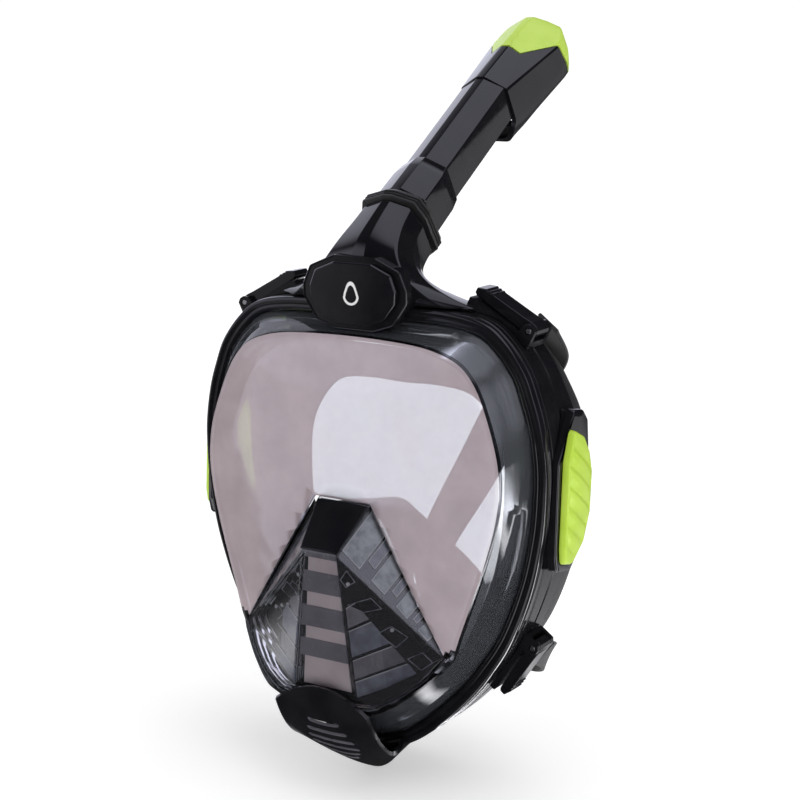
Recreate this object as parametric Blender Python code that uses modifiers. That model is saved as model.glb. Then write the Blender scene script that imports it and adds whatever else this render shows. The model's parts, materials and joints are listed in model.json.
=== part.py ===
"""Full face snorkel mask: clear visor in a clamped frame, silicone skirt and oral cup,
forehead duct, pull-out dry-top snorkel tube, purge valves, strap clips and harness.

Frame: +Z up, the face looks along -Y, X is left-right, metres. The origin is under the
middle of the whole object, at the height of the chin's lowest point. "right" in a name
is +X, the right as seen from the front.

Sizes are in millimetres in the mask frame, whose origin is behind the window's centre;
world() turns them into metres from the object's origin.
"""
import math

import bmesh
import bpy
from mathutils import Matrix, Vector

# ---------------------------------------------------------------- driving dimensions (mm)
SHIFT_Y, SHIFT_Z = -79.9, 162.0      # from the mask frame to the origin
STATIONS = 48                        # points round the mask outline
CENTRE = (0.0, -25.0)                # (x, z) that the mask outlines are sampled from
RING_FRONT, RING_BACK = 12.5, 20.0   # clamp ring, depth of its faces
RING_WIDTH = 7.0
BAND_BACK = 44.0                     # rear edge of the side band
TUBE_Y, TUBE_Z = 46.0, 112.2         # socket mouth, on the tube's axis
TUBE_LEAN = math.radians(57.6)       # tube axis, back from the vertical
TUBE_HALF_WIDTH, TUBE_HALF_DEPTH = 12.3, 15.0
TUBE_RIDGE = 5.9                     # height of the ridges on its front and back
TUBE_END = 99.4                      # along the axis, from the socket mouth

TUBE_AXIS = (math.sin(TUBE_LEAN), math.cos(TUBE_LEAN))     # in (y, z)
TUBE_FRONT = (-math.cos(TUBE_LEAN), math.sin(TUBE_LEAN))   # towards the tube's front face

SIDES = (("right", 1.0), ("left", -1.0))   # name, sign of x

# Outlines seen from the front: right half from top to bottom, as (x, z)
RING = [
    (0, 75.5), (25, 75.8), (48, 75), (65, 71.5), (76.5, 63), (86.3, 50.5), (91.5, 38),
    (95.5, 25), (98.2, 8), (98.4, -8), (96.8, -28), (91.5, -53), (81.5, -80), (70, -99),
    (57.5, -115), (43, -129.5), (28, -141.5), (12, -149), (0, -151)]
WINDOW = [
    (0, 61.4), (28, 60.6), (45, 58.6), (58, 54.2), (66, 47.3), (72.8, 35.5), (80.5, 13.5),
    (82.6, -3), (81, -19), (76.2, -38), (70.5, -56), (65, -72.5), (60.3, -86.5),
    (54.3, -94.2), (44.4, -103.5), (32.7, -111.7), (17, -117.5), (0, -119.5)]
FACE_OPENING = [
    (0, 31), (20, 31.5), (38, 29), (50, 18), (57, 2), (58, -20), (56, -45), (50, -70),
    (40, -92), (25, -108), (0, -114)]
NOSE_HOLE = [
    (0, -16.5), (15.8, -16.5), (57.6, -86.4), (49.2, -97.4), (39.2, -105.8), (27, -112.6),
    (12, -116.4), (0, -117)]

# ---------------------------------------------------------------- scene and materials
for old in list(bpy.data.objects):
    bpy.data.objects.remove(old, do_unlink=True)
PARTS = bpy.data.collections.new("full_face_snorkel")
CUTTERS = bpy.data.collections.new("cutters")
bpy.context.scene.collection.children.link(PARTS)
bpy.context.scene.collection.children.link(CUTTERS)

# name: base colour, roughness, metallic
MATERIALS = {
    "clear": ((0.75, 0.77, 0.80), 0.05, 0.0),
    "smoke": ((0.10, 0.10, 0.12), 0.10, 0.0),
    "gloss_black": ((0.012, 0.012, 0.014), 0.08, 0.0),
    "satin_black": ((0.035, 0.035, 0.042), 0.38, 0.0),
    "silicone": ((0.018, 0.018, 0.020), 0.50, 0.0),
    "lime": ((0.55, 0.86, 0.05), 0.30, 0.0),
    "webbing": ((0.015, 0.015, 0.016), 0.85, 0.0),
    "valve_film": ((0.70, 0.72, 0.74), 0.35, 0.0),
    "float_white": ((0.80, 0.80, 0.78), 0.45, 0.0),
    "steel": ((0.60, 0.60, 0.62), 0.25, 1.0),
}


def material(name):
    if name in bpy.data.materials:
        return bpy.data.materials[name]
    colour, roughness, metallic = MATERIALS[name]
    mat = bpy.data.materials.new(name)
    mat.use_nodes = True
    shader = mat.node_tree.nodes["Principled BSDF"]
    shader.inputs["Base Color"].default_value = (*colour, 1.0)
    shader.inputs["Roughness"].default_value = roughness
    shader.inputs["Metallic"].default_value = metallic
    return mat


# ---------------------------------------------------------------- frames
# Turns a plate's XY plane onto the mask's XZ plane
FACING = Matrix(((1, 0, 0, 0), (0, 0, -1, 0), (0, 1, 0, 0), (0, 0, 0, 1)))


def world(p):
    """Mask-frame millimetres to world metres."""
    return Vector((p[0], p[1] + SHIFT_Y, p[2] + SHIFT_Z)) / 1000.0


def on_tube(s, x, n):
    """A point s along the tube's axis from the socket mouth, x sideways, n towards its front."""
    return (x,
            TUBE_Y + s * TUBE_AXIS[0] + n * TUBE_FRONT[0],
            TUBE_Z + s * TUBE_AXIS[1] + n * TUBE_FRONT[1])


def frame_matrix(at, axis):
    """Local +Z on an axis that is not vertical, local +X level, at a mask-frame point."""
    z = Vector(axis).normalized()
    x = Vector((0, 0, 1)).cross(z).normalized()
    y = z.cross(x)
    matrix = Matrix((x, y, z)).transposed().to_4x4()
    matrix.translation = world(at)
    return matrix


# ---------------------------------------------------------------- objects
def attach(obj, parent):
    """Parents an object and leaves it where it is."""
    obj.parent = parent
    obj.matrix_parent_inverse = parent.matrix_world.inverted()


def joint(name, pivot, parent=None):
    """An empty on a moving part's pivot."""
    empty = bpy.data.objects.new(name, None)
    empty.location = world(pivot)
    PARTS.objects.link(empty)
    if parent is not None:
        attach(empty, parent)
    bpy.context.view_layer.update()
    return empty


def finish(obj, mat, parent=None):
    obj.data.materials.append(material(mat))
    obj.data.shade_smooth()
    obj.data.set_sharp_from_angle(angle=math.radians(40))
    PARTS.objects.link(obj)
    if parent is not None:
        attach(obj, parent)
    return obj


def face_out(bm):
    """Turns every face of a closed mesh outwards."""
    bmesh.ops.recalc_face_normals(bm, faces=bm.faces)
    if bm.calc_volume(signed=True) < 0:
        bmesh.ops.reverse_faces(bm, faces=bm.faces)


def mesh_object(name, points, faces, mat, parent=None, closed=True):
    """points in mask-frame mm; the object's origin stays at the world's origin."""
    mesh = bpy.data.meshes.new(name)
    mesh.from_pydata([world(p) for p in points], [], faces)
    if closed:
        bm = bmesh.new()
        bm.from_mesh(mesh)
        face_out(bm)
        bm.to_mesh(mesh)
        bm.free()
    return finish(bpy.data.objects.new(name, mesh), mat, parent)


def hide_helper(obj):
    CUTTERS.objects.link(obj)
    obj.hide_render = True
    obj.display_type = "WIRE"
    return obj


def as_helper(obj):
    """Moves a finished part to the boolean helpers."""
    PARTS.objects.unlink(obj)
    return hide_helper(obj)


def place(name, bm, matrix, mat, parent):
    """A bmesh to a part whose frame is matrix, or without a material to a cutter."""
    mesh = bpy.data.meshes.new(name)
    if mat is None:
        bm.transform(matrix)
        face_out(bm)
    bm.to_mesh(mesh)
    bm.free()
    obj = bpy.data.objects.new(name, mesh)
    if mat is None:
        return hide_helper(obj)
    obj.matrix_world = matrix
    return finish(obj, mat, parent)


def cut(obj, tool, operation="DIFFERENCE"):
    mod = obj.modifiers.new(tool.name, "BOOLEAN")
    mod.operation = operation
    mod.object = tool
    mod.solver = "EXACT"


def add_wall(obj, thickness):
    """A Solidify modifier that builds a wall behind an open skin's faces."""
    wall = obj.modifiers.new("wall", "SOLIDIFY")
    wall.thickness = thickness / 1000.0
    wall.offset = -1.0


# ---------------------------------------------------------------- solids
# disc, box and plate make a cutter when they get no material.
def disc(name, at, axis, radius, depth, mat=None, parent=None, segments=24, low=0.0):
    """A cylinder from low to low + depth along axis from a point."""
    bm = bmesh.new()
    bmesh.ops.create_cone(bm, cap_ends=True, segments=segments, radius1=radius / 1000,
                          radius2=radius / 1000, depth=depth / 1000)
    bmesh.ops.translate(bm, verts=bm.verts, vec=(0, 0, (low + depth / 2) / 1000))
    return place(name, bm, frame_matrix(at, axis), mat, parent)


def box(name, at, size, mat=None, parent=None, turn=0.0):
    """A box centred on a mask-frame point and turned about X."""
    bm = bmesh.new()
    bmesh.ops.create_cube(bm, size=1.0)
    bmesh.ops.scale(bm, verts=bm.verts, vec=[v / 1000 for v in size])
    matrix = Matrix.Translation(world(at)) @ Matrix.Rotation(turn, 4, "X")
    return place(name, bm, matrix, mat, parent)


def plate(name, outline, thickness, matrix, mat=None, holes=()):
    """A flat plate from outlines in its own XY plane, centred on its mid-thickness."""
    data = bpy.data.curves.new(name, "CURVE")
    data.dimensions = "2D"
    data.fill_mode = "BOTH"
    data.extrude = thickness / 2000
    for points in [outline, *holes]:
        line = data.splines.new("POLY")
        line.points.add(len(points) - 1)
        for target, p in zip(line.points, points):
            target.co = (p[0] / 1000, p[1] / 1000, 0, 1)
        line.use_cyclic_u = True
    curve = bpy.data.objects.new(name + "_outline", data)
    PARTS.objects.link(curve)
    bpy.context.view_layer.update()
    graph = bpy.context.evaluated_depsgraph_get()
    filled = bpy.data.meshes.new_from_object(curve.evaluated_get(graph))
    bpy.data.objects.remove(curve)
    bm = bmesh.new()
    bm.from_mesh(filled)
    bpy.data.meshes.remove(filled)
    bmesh.ops.remove_doubles(bm, verts=bm.verts, dist=1e-6)
    face_out(bm)
    return place(name, bm, matrix, mat, None)


def skin(loops, ring=False, first=False, last=False):
    """Points and faces over successive closed loops of equal count.

    ring joins the last loop to the first; first and last cap the end loops.
    """
    n = len(loops[0])
    points = [p for one in loops for p in one]
    faces = []
    for i in range(len(loops) if ring else len(loops) - 1):
        k = (i + 1) % len(loops)
        for j in range(n):
            m = (j + 1) % n
            faces.append((i * n + j, i * n + m, k * n + m, k * n + j))
    if first:
        faces.append(tuple(reversed(range(n))))
    if last:
        faces.append(tuple(range((len(loops) - 1) * n, len(loops) * n)))
    return points, faces


def loft(name, loops, mat, parent=None, ring=False):
    """A solid through closed loops: capped at its ends, or closed on itself as a ring."""
    points, faces = skin(loops, ring=ring, first=not ring, last=not ring)
    return mesh_object(name, points, faces, mat, parent)


def prism(name, outline, front, back, mat, parent=None):
    """An (x, z) outline carried from y = front to y = back."""
    return loft(name, [at_y(outline, front), at_y(outline, back)], mat, parent)


def shell(name, loops, thickness, mat, last=False):
    """An open skin with a wall."""
    points, faces = skin(loops, last=last)
    obj = mesh_object(name, points, faces, mat, closed=False)
    add_wall(obj, thickness)
    return obj


# ---------------------------------------------------------------- curves and outlines
def ease(t):
    """Smooth step from 0 to 1."""
    t = max(0.0, min(1.0, t))
    return t * t * (3 - 2 * t)


def spline(points, per_span, closed):
    """Catmull-Rom through points of any dimension."""
    out, count = [], len(points)
    for i in range(count if closed else count - 1):
        if closed:
            near = [points[(i + k) % count] for k in (-1, 0, 1, 2)]
        else:
            near = [points[max(0, min(count - 1, i + k))] for k in (-1, 0, 1, 2)]
        for j in range(per_span):
            t = j / per_span
            out.append(tuple(
                0.5 * (2 * p1 + (p2 - p0) * t + (2 * p0 - 5 * p1 + 4 * p2 - p3) * t * t
                       + (3 * p1 - p0 - 3 * p2 + p3) * t ** 3)
                for p0, p1, p2, p3 in zip(*near)))
    if not closed:
        out.append(tuple(points[-1]))
    return out


def whole(half):
    """Right half, top to bottom, to a closed outline, anticlockwise seen from the front."""
    left = [(-x, z) for x, z in half]
    right = [p for p in reversed(half) if abs(p[0]) > 1e-9]
    return left + right


def sample(outline, angles, centre):
    """The closed star-shaped outline's points in these directions from centre."""
    rows = sorted((math.atan2(z - centre[1], x - centre[0]),
                   math.hypot(x - centre[0], z - centre[1])) for x, z in outline)
    before = (rows[-1][0] - 2 * math.pi, rows[-1][1])
    after = (rows[0][0] + 2 * math.pi, rows[0][1])
    rows = [before] + rows + [after]
    out = []
    for angle in angles:
        k = 0
        while rows[k + 1][0] < angle:
            k += 1
        # where the direction meets the straight chord between the two neighbours
        (a0, r0), (a1, r1) = rows[k], rows[k + 1]
        x0, z0 = r0 * math.cos(a0), r0 * math.sin(a0)
        x1, z1 = r1 * math.cos(a1), r1 * math.sin(a1)
        dx, dz = math.cos(angle), math.sin(angle)
        radius = (x0 * (z1 - z0) - z0 * (x1 - x0)) / (dx * (z1 - z0) - dz * (x1 - x0))
        out.append((centre[0] + radius * dx, centre[1] + radius * dz))
    return out


def even_angles(outline, count, centre):
    """Directions of points spaced evenly along the outline, symmetric about x = 0, from the top."""
    points = spline(outline, 24, True)
    lengths = [0.0]
    for p, q in zip(points, points[1:] + points[:1]):
        lengths.append(lengths[-1] + math.dist(p, q))
    out = []
    for i in range(count // 2 + 1):
        want = lengths[-1] * i / count
        k = 0
        while k < len(points) - 1 and lengths[k + 1] < want:
            k += 1
        t = (want - lengths[k]) / max(1e-9, lengths[k + 1] - lengths[k])
        p, q = points[k], points[(k + 1) % len(points)]
        x, z = p[0] + (q[0] - p[0]) * t, p[1] + (q[1] - p[1]) * t
        out.append(math.atan2(z - centre[1], x - centre[0]))
    # the points run from the top down the left side; mirror them for the right side
    mirrored = [math.atan2(math.sin(a), -math.cos(a)) for a in reversed(out[1:-1])]
    return out + mirrored


def inset(points, by):
    """Moves each point of an anticlockwise outline inwards."""
    out, count = [], len(points)
    for i, p in enumerate(points):
        q, r = points[i - 1], points[(i + 1) % count]
        tx, tz = r[0] - q[0], r[1] - q[1]
        length = math.hypot(tx, tz)
        out.append((p[0] - tz / length * by, p[1] + tx / length * by))
    return out


def shrink(outline, by):
    """Moves each edge of a clockwise outline inwards, with mitred corners."""
    out, count = [], len(outline)
    for i, q in enumerate(outline):
        p, r = outline[i - 1], outline[(i + 1) % count]
        along1 = Vector((q[0] - p[0], q[1] - p[1])).normalized()
        along2 = Vector((r[0] - q[0], r[1] - q[1])).normalized()
        inward1 = Vector((along1.y, -along1.x))
        inward2 = Vector((along2.y, -along2.x))
        mitre = (inward1 + inward2).normalized()
        reach = by / mitre.dot(inward1)
        out.append((q[0] + mitre.x * reach, q[1] + mitre.y * reach))
    return out


def mix(start, end, t):
    return [(p[0] + (q[0] - p[0]) * t, p[1] + (q[1] - p[1]) * t) for p, q in zip(start, end)]


def scaled(points, k, centre=CENTRE):
    return [(centre[0] + (x - centre[0]) * k, centre[1] + (z - centre[1]) * k)
            for x, z in points]


def at_y(points, y):
    """(x, z) outline to 3D, y a number or a function of (x, z)."""
    return [(x, y(x, z) if callable(y) else y, z) for x, z in points]


def at_x(points, x):
    """(y, z) outline to 3D."""
    return [(x, y, z) for y, z in points]


def behind(depth, offset):
    """A depth function moved back."""
    return lambda x, z: depth(x, z) + offset


def rectangle(x0, x1, y0, y1):
    return [(x0, y0), (x1, y0), (x1, y1), (x0, y1)]


ANGLES = even_angles(whole(RING), STATIONS, CENTRE)
RING_POINTS, WINDOW_POINTS, FACE_POINTS = (
    sample(spline(whole(half), 16, True), ANGLES, CENTRE)
    for half in (RING, WINDOW, FACE_OPENING))


def ring_loops(section):
    """Loops round the mask from rows of (inset from the ring outline, y)."""
    return [at_y(inset(RING_POINTS, by), y) for by, y in section]


# ---------------------------------------------------------------- visor, clamp ring, side band
VISOR_WALL = 2.2
VISOR_FLANGE = [(2.2, 20.6), (RING_WIDTH + 0.6, 20.6), (RING_WIDTH + 0.6, 13.2)]  # inset, y


def window_depth(x, z):
    """Depth of the window's edge: leans back downwards, then steps forward below z = -88."""
    return -4.7 + 0.044 * z - 0.68 * min(24.0, max(0.0, -88.0 - z))


def band_back(x, z):
    """Rear edge of the side band: deeper behind the grip pads."""
    side = ease((abs(x) - 80) / 12)
    return BAND_BACK + 6.0 * side * ease(1.4 - abs(z + 6) / 45) - 1.0 * ease((z - 60) / 10)


# Ring sections as (inset from the ring outline, y)
CLAMP_SECTION = [
    (1.3, RING_FRONT), (0, RING_FRONT + 2), (0, RING_BACK), (RING_WIDTH, RING_BACK),
    (RING_WIDTH, RING_FRONT + 1.4), (RING_WIDTH - 1.5, RING_FRONT)]
BAND_SECTION = [
    (0.3, 20.4), (0, 24.0), (0.4, band_back), (2.4, band_back), (2.2, 27.2), (8.4, 27.2),
    (8.4, 25.2), (1.8, 25.2), (1.7, 20.4)]


def build_visor():
    visor = shell("visor", ring_loops(VISOR_FLANGE) + [
        at_y(inset(WINDOW_POINTS, -0.8), behind(window_depth, 2.4)),
        at_y(inset(WINDOW_POINTS, 1.6), window_depth),
        at_y(scaled(WINDOW_POINTS, 0.66), behind(window_depth, -2.6)),
        at_y(scaled(WINDOW_POINTS, 0.30), behind(window_depth, -3.8)),
    ], VISOR_WALL, "clear", last=True)
    hole = NOSE_HOLE + [(-x, z) for x, z in reversed(NOSE_HOLE) if x > 0]
    matrix = Matrix.Translation(world((0, -14.0, 0))) @ FACING
    cut(visor, plate("cut_nose_opening", hole, 50.0, matrix))
    return visor


visor = build_visor()
loft("clamp_ring", ring_loops(CLAMP_SECTION), "gloss_black", ring=True)
loft("side_band", ring_loops(BAND_SECTION), "satin_black", ring=True)


# ---------------------------------------------------------------- silicone skirt
SILICONE_WALL = 1.5


def skirt_back(x, z):
    """Depth of the skirt's rear roll: deepest at the jaw and cheeks."""
    return (55.0 + 9.0 * ease((abs(x) - 40) / 45) * ease((70 - z) / 60)
            - 4.0 * ease((z - 20) / 50))


# (inset from the ring outline, y), from the front
SKIRT_SECTION = [
    (3.2, 23.2), (10.6, 23.2), (10.6, 29.0), (6.2, 35.0), (4.4, behind(skirt_back, -8)),
    (6.2, behind(skirt_back, -1)), (14.0, behind(skirt_back, 1))]

shell("face_skirt", ring_loops(SKIRT_SECTION) + [
    at_y(mix(inset(RING_POINTS, 14.0), FACE_POINTS, 0.55), behind(skirt_back, -3)),
    at_y(FACE_POINTS, 47.5),
], SILICONE_WALL, "silicone")

# ---------------------------------------------------------------- oral cup and inhale valves
CUP_CENTRE = (0.0, -75.0)
CUP_STATIONS = 28
# Right halves from top to bottom, as (x, z)
CUP_FRONT = [
    (0, -22), (10, -22.5), (17, -29), (30, -53), (43, -77), (50, -88), (43, -100),
    (30, -110), (15, -116.5), (0, -118.5)]
CUP_MIDDLE = [
    (0, -25), (12, -27), (19, -36), (29, -56), (38, -77), (41, -89), (35, -101),
    (22, -110), (10, -113.5), (0, -114.5)]
CUP_REAR = [
    (0, -28.5), (10, -33.5), (24, -43.5), (40, -55.5), (47, -63.5), (47, -76), (42, -92),
    (30, -102), (14, -106.5), (0, -107.5)]

INHALE_AT = (33.3, 12.0, -60.5)      # right side
INHALE_AXIS = Vector((0.86, 0.14, 0.49)).normalized()
INHALE_HINGE_UP, INHALE_HINGE_OUT = 8.1, 1.6   # flap pivot from the valve's centre
# name, and the x range of each opening in the seat
INHALE_OPENINGS = (("a", -7.4, -0.7), ("b", 0.7, 7.4))


def cup_points(half):
    angles = [math.pi / 2 + 2 * math.pi * i / CUP_STATIONS for i in range(CUP_STATIONS)]
    angles = [math.atan2(math.sin(a), math.cos(a)) for a in angles]
    return sample(spline(whole(half), 10, True), angles, CUP_CENTRE)


def build_inhale_valve(side, sign):
    """Hole in the cup, seat with two openings and a bar between, and a flap hinged above."""
    at = Vector((sign * INHALE_AT[0], INHALE_AT[1], INHALE_AT[2]))
    axis = Vector((sign * INHALE_AXIS.x, INHALE_AXIS.y, INHALE_AXIS.z))
    cut(oral_cup, disc("cut_inhale_" + side, at, axis, radius=9.0, depth=16.0, low=-8.0))
    seat = disc("inhale_seat_" + side, at, axis, radius=11.0, depth=2.6, mat="smoke", low=2.4)
    matrix = frame_matrix(at, axis) @ Matrix.Translation((0, 0, 0.0035))
    for name, x0, x1 in INHALE_OPENINGS:
        opening = [(x0, 3.41), (x0 * 0.6 + x1 * 0.4, 6.6), (x1, 5.4),
                   (x1, -5.4), (x0 * 0.4 + x1 * 0.6, -6.6), (x0, -3.4)]
        cut(seat, plate("cut_seat_%s_%s" % (side, name), opening, 12.0, matrix))
    up = (Vector((0, 0, 1)) - axis * axis.z).normalized()
    pivot = at + up * INHALE_HINGE_UP + axis * INHALE_HINGE_OUT
    hinge = joint("inhale_flap_joint_" + side, pivot)
    disc("inhale_flap_" + side, at, axis, radius=7.9, depth=0.8, mat="valve_film",
         parent=hinge, segments=20, low=1.2)


oral_cup = shell("oral_cup", [
    at_y(cup_points(CUP_FRONT), 1.0),
    at_y(cup_points(CUP_MIDDLE), 22.0),
    at_y(cup_points(CUP_REAR), 42.0),
    at_y(scaled(cup_points(CUP_REAR), 0.90, CUP_CENTRE), 46.0),
], SILICONE_WALL, "silicone")
for side, sign in SIDES:
    build_inhale_valve(side, sign)

# ---------------------------------------------------------------- nose pocket
NOSE_WALL = 1.7
NOSE_TOP, NOSE_BRIDGE = (15.3, -5.6, -17.1), (9.8, -28.6, -38.2)
# Right-hand corners: top, bridge, tip, wing, then the lower rim from the wing inwards
NOSE_CORNERS = [
    NOSE_TOP, NOSE_BRIDGE, (18.0, -25.6, -108.5), (56.8, -8.4, -86.0),
    (48.5, -15.2, -96.8), (38.6, -20.8, -105.2), (26.6, -24.4, -112.0)]
NOSE_MIDDLE = [(0.0, -24.6, -116.2), (0.0, -25.9, -104.0)]   # bottom of the rim, above it


def build_nose_cover():
    points = [(x * sign, y, z) for x, y, z in NOSE_CORNERS for _, sign in SIDES] + NOSE_MIDDLE
    (top_r, top_l, bridge_r, bridge_l, tip_r, tip_l, wing_r, wing_l, outer_r, outer_l,
     mid_r, mid_l, inner_r, inner_l, bottom, middle) = range(16)
    faces = [
        (top_r, top_l, bridge_l, bridge_r),
        (bridge_r, bridge_l, tip_l, middle, tip_r),
        (top_r, bridge_r, wing_r), (top_l, wing_l, bridge_l),
        (bridge_r, tip_r, mid_r, outer_r, wing_r),
        (bridge_l, wing_l, outer_l, mid_l, tip_l),
        (tip_r, inner_r, mid_r), (tip_l, mid_l, inner_l),
        (tip_r, middle, bottom, inner_r), (tip_l, inner_l, bottom, middle)]
    nose = mesh_object("nose_cover", points, faces, "clear", closed=False)
    bm = bmesh.new()
    bm.from_mesh(nose.data)
    bmesh.ops.triangulate(bm, faces=[face for face in bm.faces if len(face.verts) > 4])
    bmesh.ops.recalc_face_normals(bm, faces=bm.faces)
    # the faces have to look forwards, so that the wall is built behind them
    if sum(face.normal.y * face.calc_area() for face in bm.faces) > 0:
        bmesh.ops.reverse_faces(bm, faces=bm.faces)
    bm.to_mesh(nose.data)
    bm.free()
    add_wall(nose, NOSE_WALL)


TRIM_HALF_TOP, TRIM_HALF_LOW = 14.6, 10.6
TRIM_NEAR, TRIM_FAR = 0.35, 2.0       # its two faces, off the pocket's surface
TRIM_DROP_TOP, TRIM_DROP_LOW = 2.6, -0.2   # its ends, down the slope


def build_nose_trim():
    """Tapered plate over the bridge of the nose, standing just off the pocket."""
    top, bridge = Vector(NOSE_TOP), Vector(NOSE_BRIDGE)
    outward = Vector((0, bridge.z - top.z, -(bridge.y - top.y))).normalized()  # forwards and up
    edge = (bridge - top).normalized()
    slope = Vector((0, edge.y, edge.z))
    corners = [(-TRIM_HALF_TOP, top, TRIM_DROP_TOP), (-TRIM_HALF_LOW, bridge, TRIM_DROP_LOW),
               (TRIM_HALF_LOW, bridge, TRIM_DROP_LOW), (TRIM_HALF_TOP, top, TRIM_DROP_TOP)]
    loft("nose_bridge_trim", [
        [tuple(Vector((x, end.y, end.z)) + outward * off + slope * drop)
         for x, end, drop in corners]
        for off in (TRIM_NEAR, TRIM_FAR)], "gloss_black")


GUARD_AT, GUARD_TILT = (0, -22.9, -70.0), math.radians(3.7)
GUARD_TOP, GUARD_LOW = 20.5, -32.0
GUARD_HALF_TOP, GUARD_HALF_LOW = 7.2, 12.6
GUARD_RAIL = 2.2
GUARD_OPENINGS, GUARD_OPENING_HEIGHT = (10.5, -6.7, -23.8), 5.9   # tops, height


def build_nose_guard():
    """Ladder of rails and slats behind the middle strip of the pocket."""
    def half_opening(height):
        taper = (GUARD_HALF_LOW - GUARD_HALF_TOP) / (GUARD_TOP - GUARD_LOW)
        return GUARD_HALF_TOP + (GUARD_TOP - height) * taper - GUARD_RAIL

    outline = [(-GUARD_HALF_TOP, GUARD_TOP), (GUARD_HALF_TOP, GUARD_TOP),
               (GUARD_HALF_LOW, GUARD_LOW), (-GUARD_HALF_LOW, GUARD_LOW)]
    holes = []
    for top in GUARD_OPENINGS:
        low = top - GUARD_OPENING_HEIGHT
        wide_top, wide_low = half_opening(top), half_opening(low)
        holes.append([(-wide_top, top), (wide_top, top), (wide_low, low), (-wide_low, low)])
    matrix = Matrix.Translation(world(GUARD_AT)) @ Matrix.Rotation(GUARD_TILT, 4, "X") @ FACING
    plate("nose_guard", outline, 1.8, matrix, "smoke", holes=holes)


build_nose_cover()
build_nose_trim()
build_nose_guard()

# ---------------------------------------------------------------- chin: purge valve and its cover
CHIN_ROWS, CHIN_COLUMNS = 8, 14
CHIN_WALL = 2.0
# share from top to bottom of the cover, half length
CHIN_SLITS = ((0.27, 9.4), (0.36, 12.0), (0.45, 14.0), (0.54, 14.5), (0.63, 12.0), (0.71, 8.5))

VENT_AT = Vector((0, 1.5, -136.2))
VENT_AXIS = Vector((0, -0.546, -0.838)).normalized()
# left and right x of each seat opening, half height at its right edge
PURGE_OPENINGS = ((-7.0, -0.8, 5.8), (0.8, 7.0, 3.6))
PURGE_HALF_LEFT, PURGE_HALF_MIDDLE = 3.6, 6.4   # half heights at its left edge and middle


def chin_point(down, across):
    """down from the upper arch (0) to the lower lip (1), across from -1 to 1: a Bezier surface."""
    w = abs(across)
    top = Vector((26.5 * across, -30.2 + 1.2 * w ** 2, -105.0 - 11.5 * w ** 2))
    middle = Vector((29.5 * across, -31.0 + 20.0 * w ** 2.4, -139.0 - 13.0 * w ** 2))
    low = Vector((28.0 * across, 17.0 - 6.5 * w ** 2, -162.0 + 18.0 * w ** 2))
    return top * (1 - down) ** 2 + middle * 2 * down * (1 - down) + low * down * down


def build_chin_cover():
    """Curved cover with level slits."""
    wide = CHIN_COLUMNS + 1
    points = [tuple(chin_point(i / CHIN_ROWS, -1 + 2 * j / CHIN_COLUMNS))
              for i in range(CHIN_ROWS + 1) for j in range(wide)]
    faces = [(i * wide + j, (i + 1) * wide + j, (i + 1) * wide + j + 1, i * wide + j + 1)
             for i in range(CHIN_ROWS) for j in range(CHIN_COLUMNS)]
    chin = mesh_object("chin_cover", points, faces, "satin_black", closed=False)
    # the faces have to look forwards, so that the wall is built behind them
    if sum(face.normal.y for face in chin.data.polygons) > 0:
        chin.data.flip_normals()
    add_wall(chin, CHIN_WALL)
    for i, (share, half) in enumerate(CHIN_SLITS):
        above, below = chin_point(share - 0.01, 0), chin_point(share + 0.01, 0)
        turn = math.atan2(below.z - above.z, below.y - above.y)
        cut(chin, box("cut_slit_%d" % i, (above + below) / 2, (2 * half, 2.2, 16.0), turn=turn))


def build_purge_valve():
    """Hole low in the visor, a seat with two openings over it, and the valve's disc."""
    cut(visor, disc("cut_vent", VENT_AT, VENT_AXIS, radius=7.6, depth=16.0, segments=20, low=-9.0))
    seat = disc("purge_seat", VENT_AT, VENT_AXIS, radius=11.0, depth=2.4, mat="smoke", low=0.9)
    matrix = frame_matrix(VENT_AT, VENT_AXIS)
    for i, (x0, x1, half_right) in enumerate(PURGE_OPENINGS):
        middle = (x0 + x1) / 2
        opening = [(x0, PURGE_HALF_LEFT), (middle, PURGE_HALF_MIDDLE), (x1, half_right),
                   (x1, -half_right), (middle, -PURGE_HALF_MIDDLE), (x0, -PURGE_HALF_LEFT)]
        cut(seat, plate("cut_purge_%d" % i, opening, 14.0, matrix))
    disc("purge_disc", VENT_AT, VENT_AXIS, radius=9.6, depth=0.9, mat="valve_film",
         parent=joint("purge_valve_joint", VENT_AT), low=3.7)


build_chin_cover()
build_purge_valve()

# ---------------------------------------------------------------- grip pads on the sides
# Clockwise as (y, z)
BEZEL = [(35, 31), (44, 29.5), (49, 24), (51, 8), (51, -20), (46, -36), (33, -47),
         (23, -44), (21, -36), (21, 8)]
# Sections as (distance from the middle plane, inset from the bezel's outline)
BEZEL_STATIONS = [(90, 0), (100.4, 0), (101.6, 1.0)]
PAD_INSET = 2.6
PAD_STATIONS = [(101.9, PAD_INSET), (104.6, PAD_INSET), (106.2, PAD_INSET + 0.9),
                (107.2, PAD_INSET + 4.0)]

# The mask's body just outside the ring outline, cut from what stands on the band
ring_prism = as_helper(prism("cut_ring_prism", inset(RING_POINTS, -0.3), 5.0, 70.0,
                             "satin_black"))


def side_loops(stations, sign):
    return [at_x(shrink(BEZEL, by), sign * x) for x, by in stations]


for side, sign in SIDES:
    bezel = loft("grip_bezel_" + side, side_loops(BEZEL_STATIONS, sign), "gloss_black")
    cut(bezel, ring_prism)
    loft("grip_pad_" + side, side_loops(PAD_STATIONS, sign), "lime")


# ---------------------------------------------------------------- forehead duct and badge
def unit(y, z):
    length = math.hypot(y, z)
    return (y / length, z / length)


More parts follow.
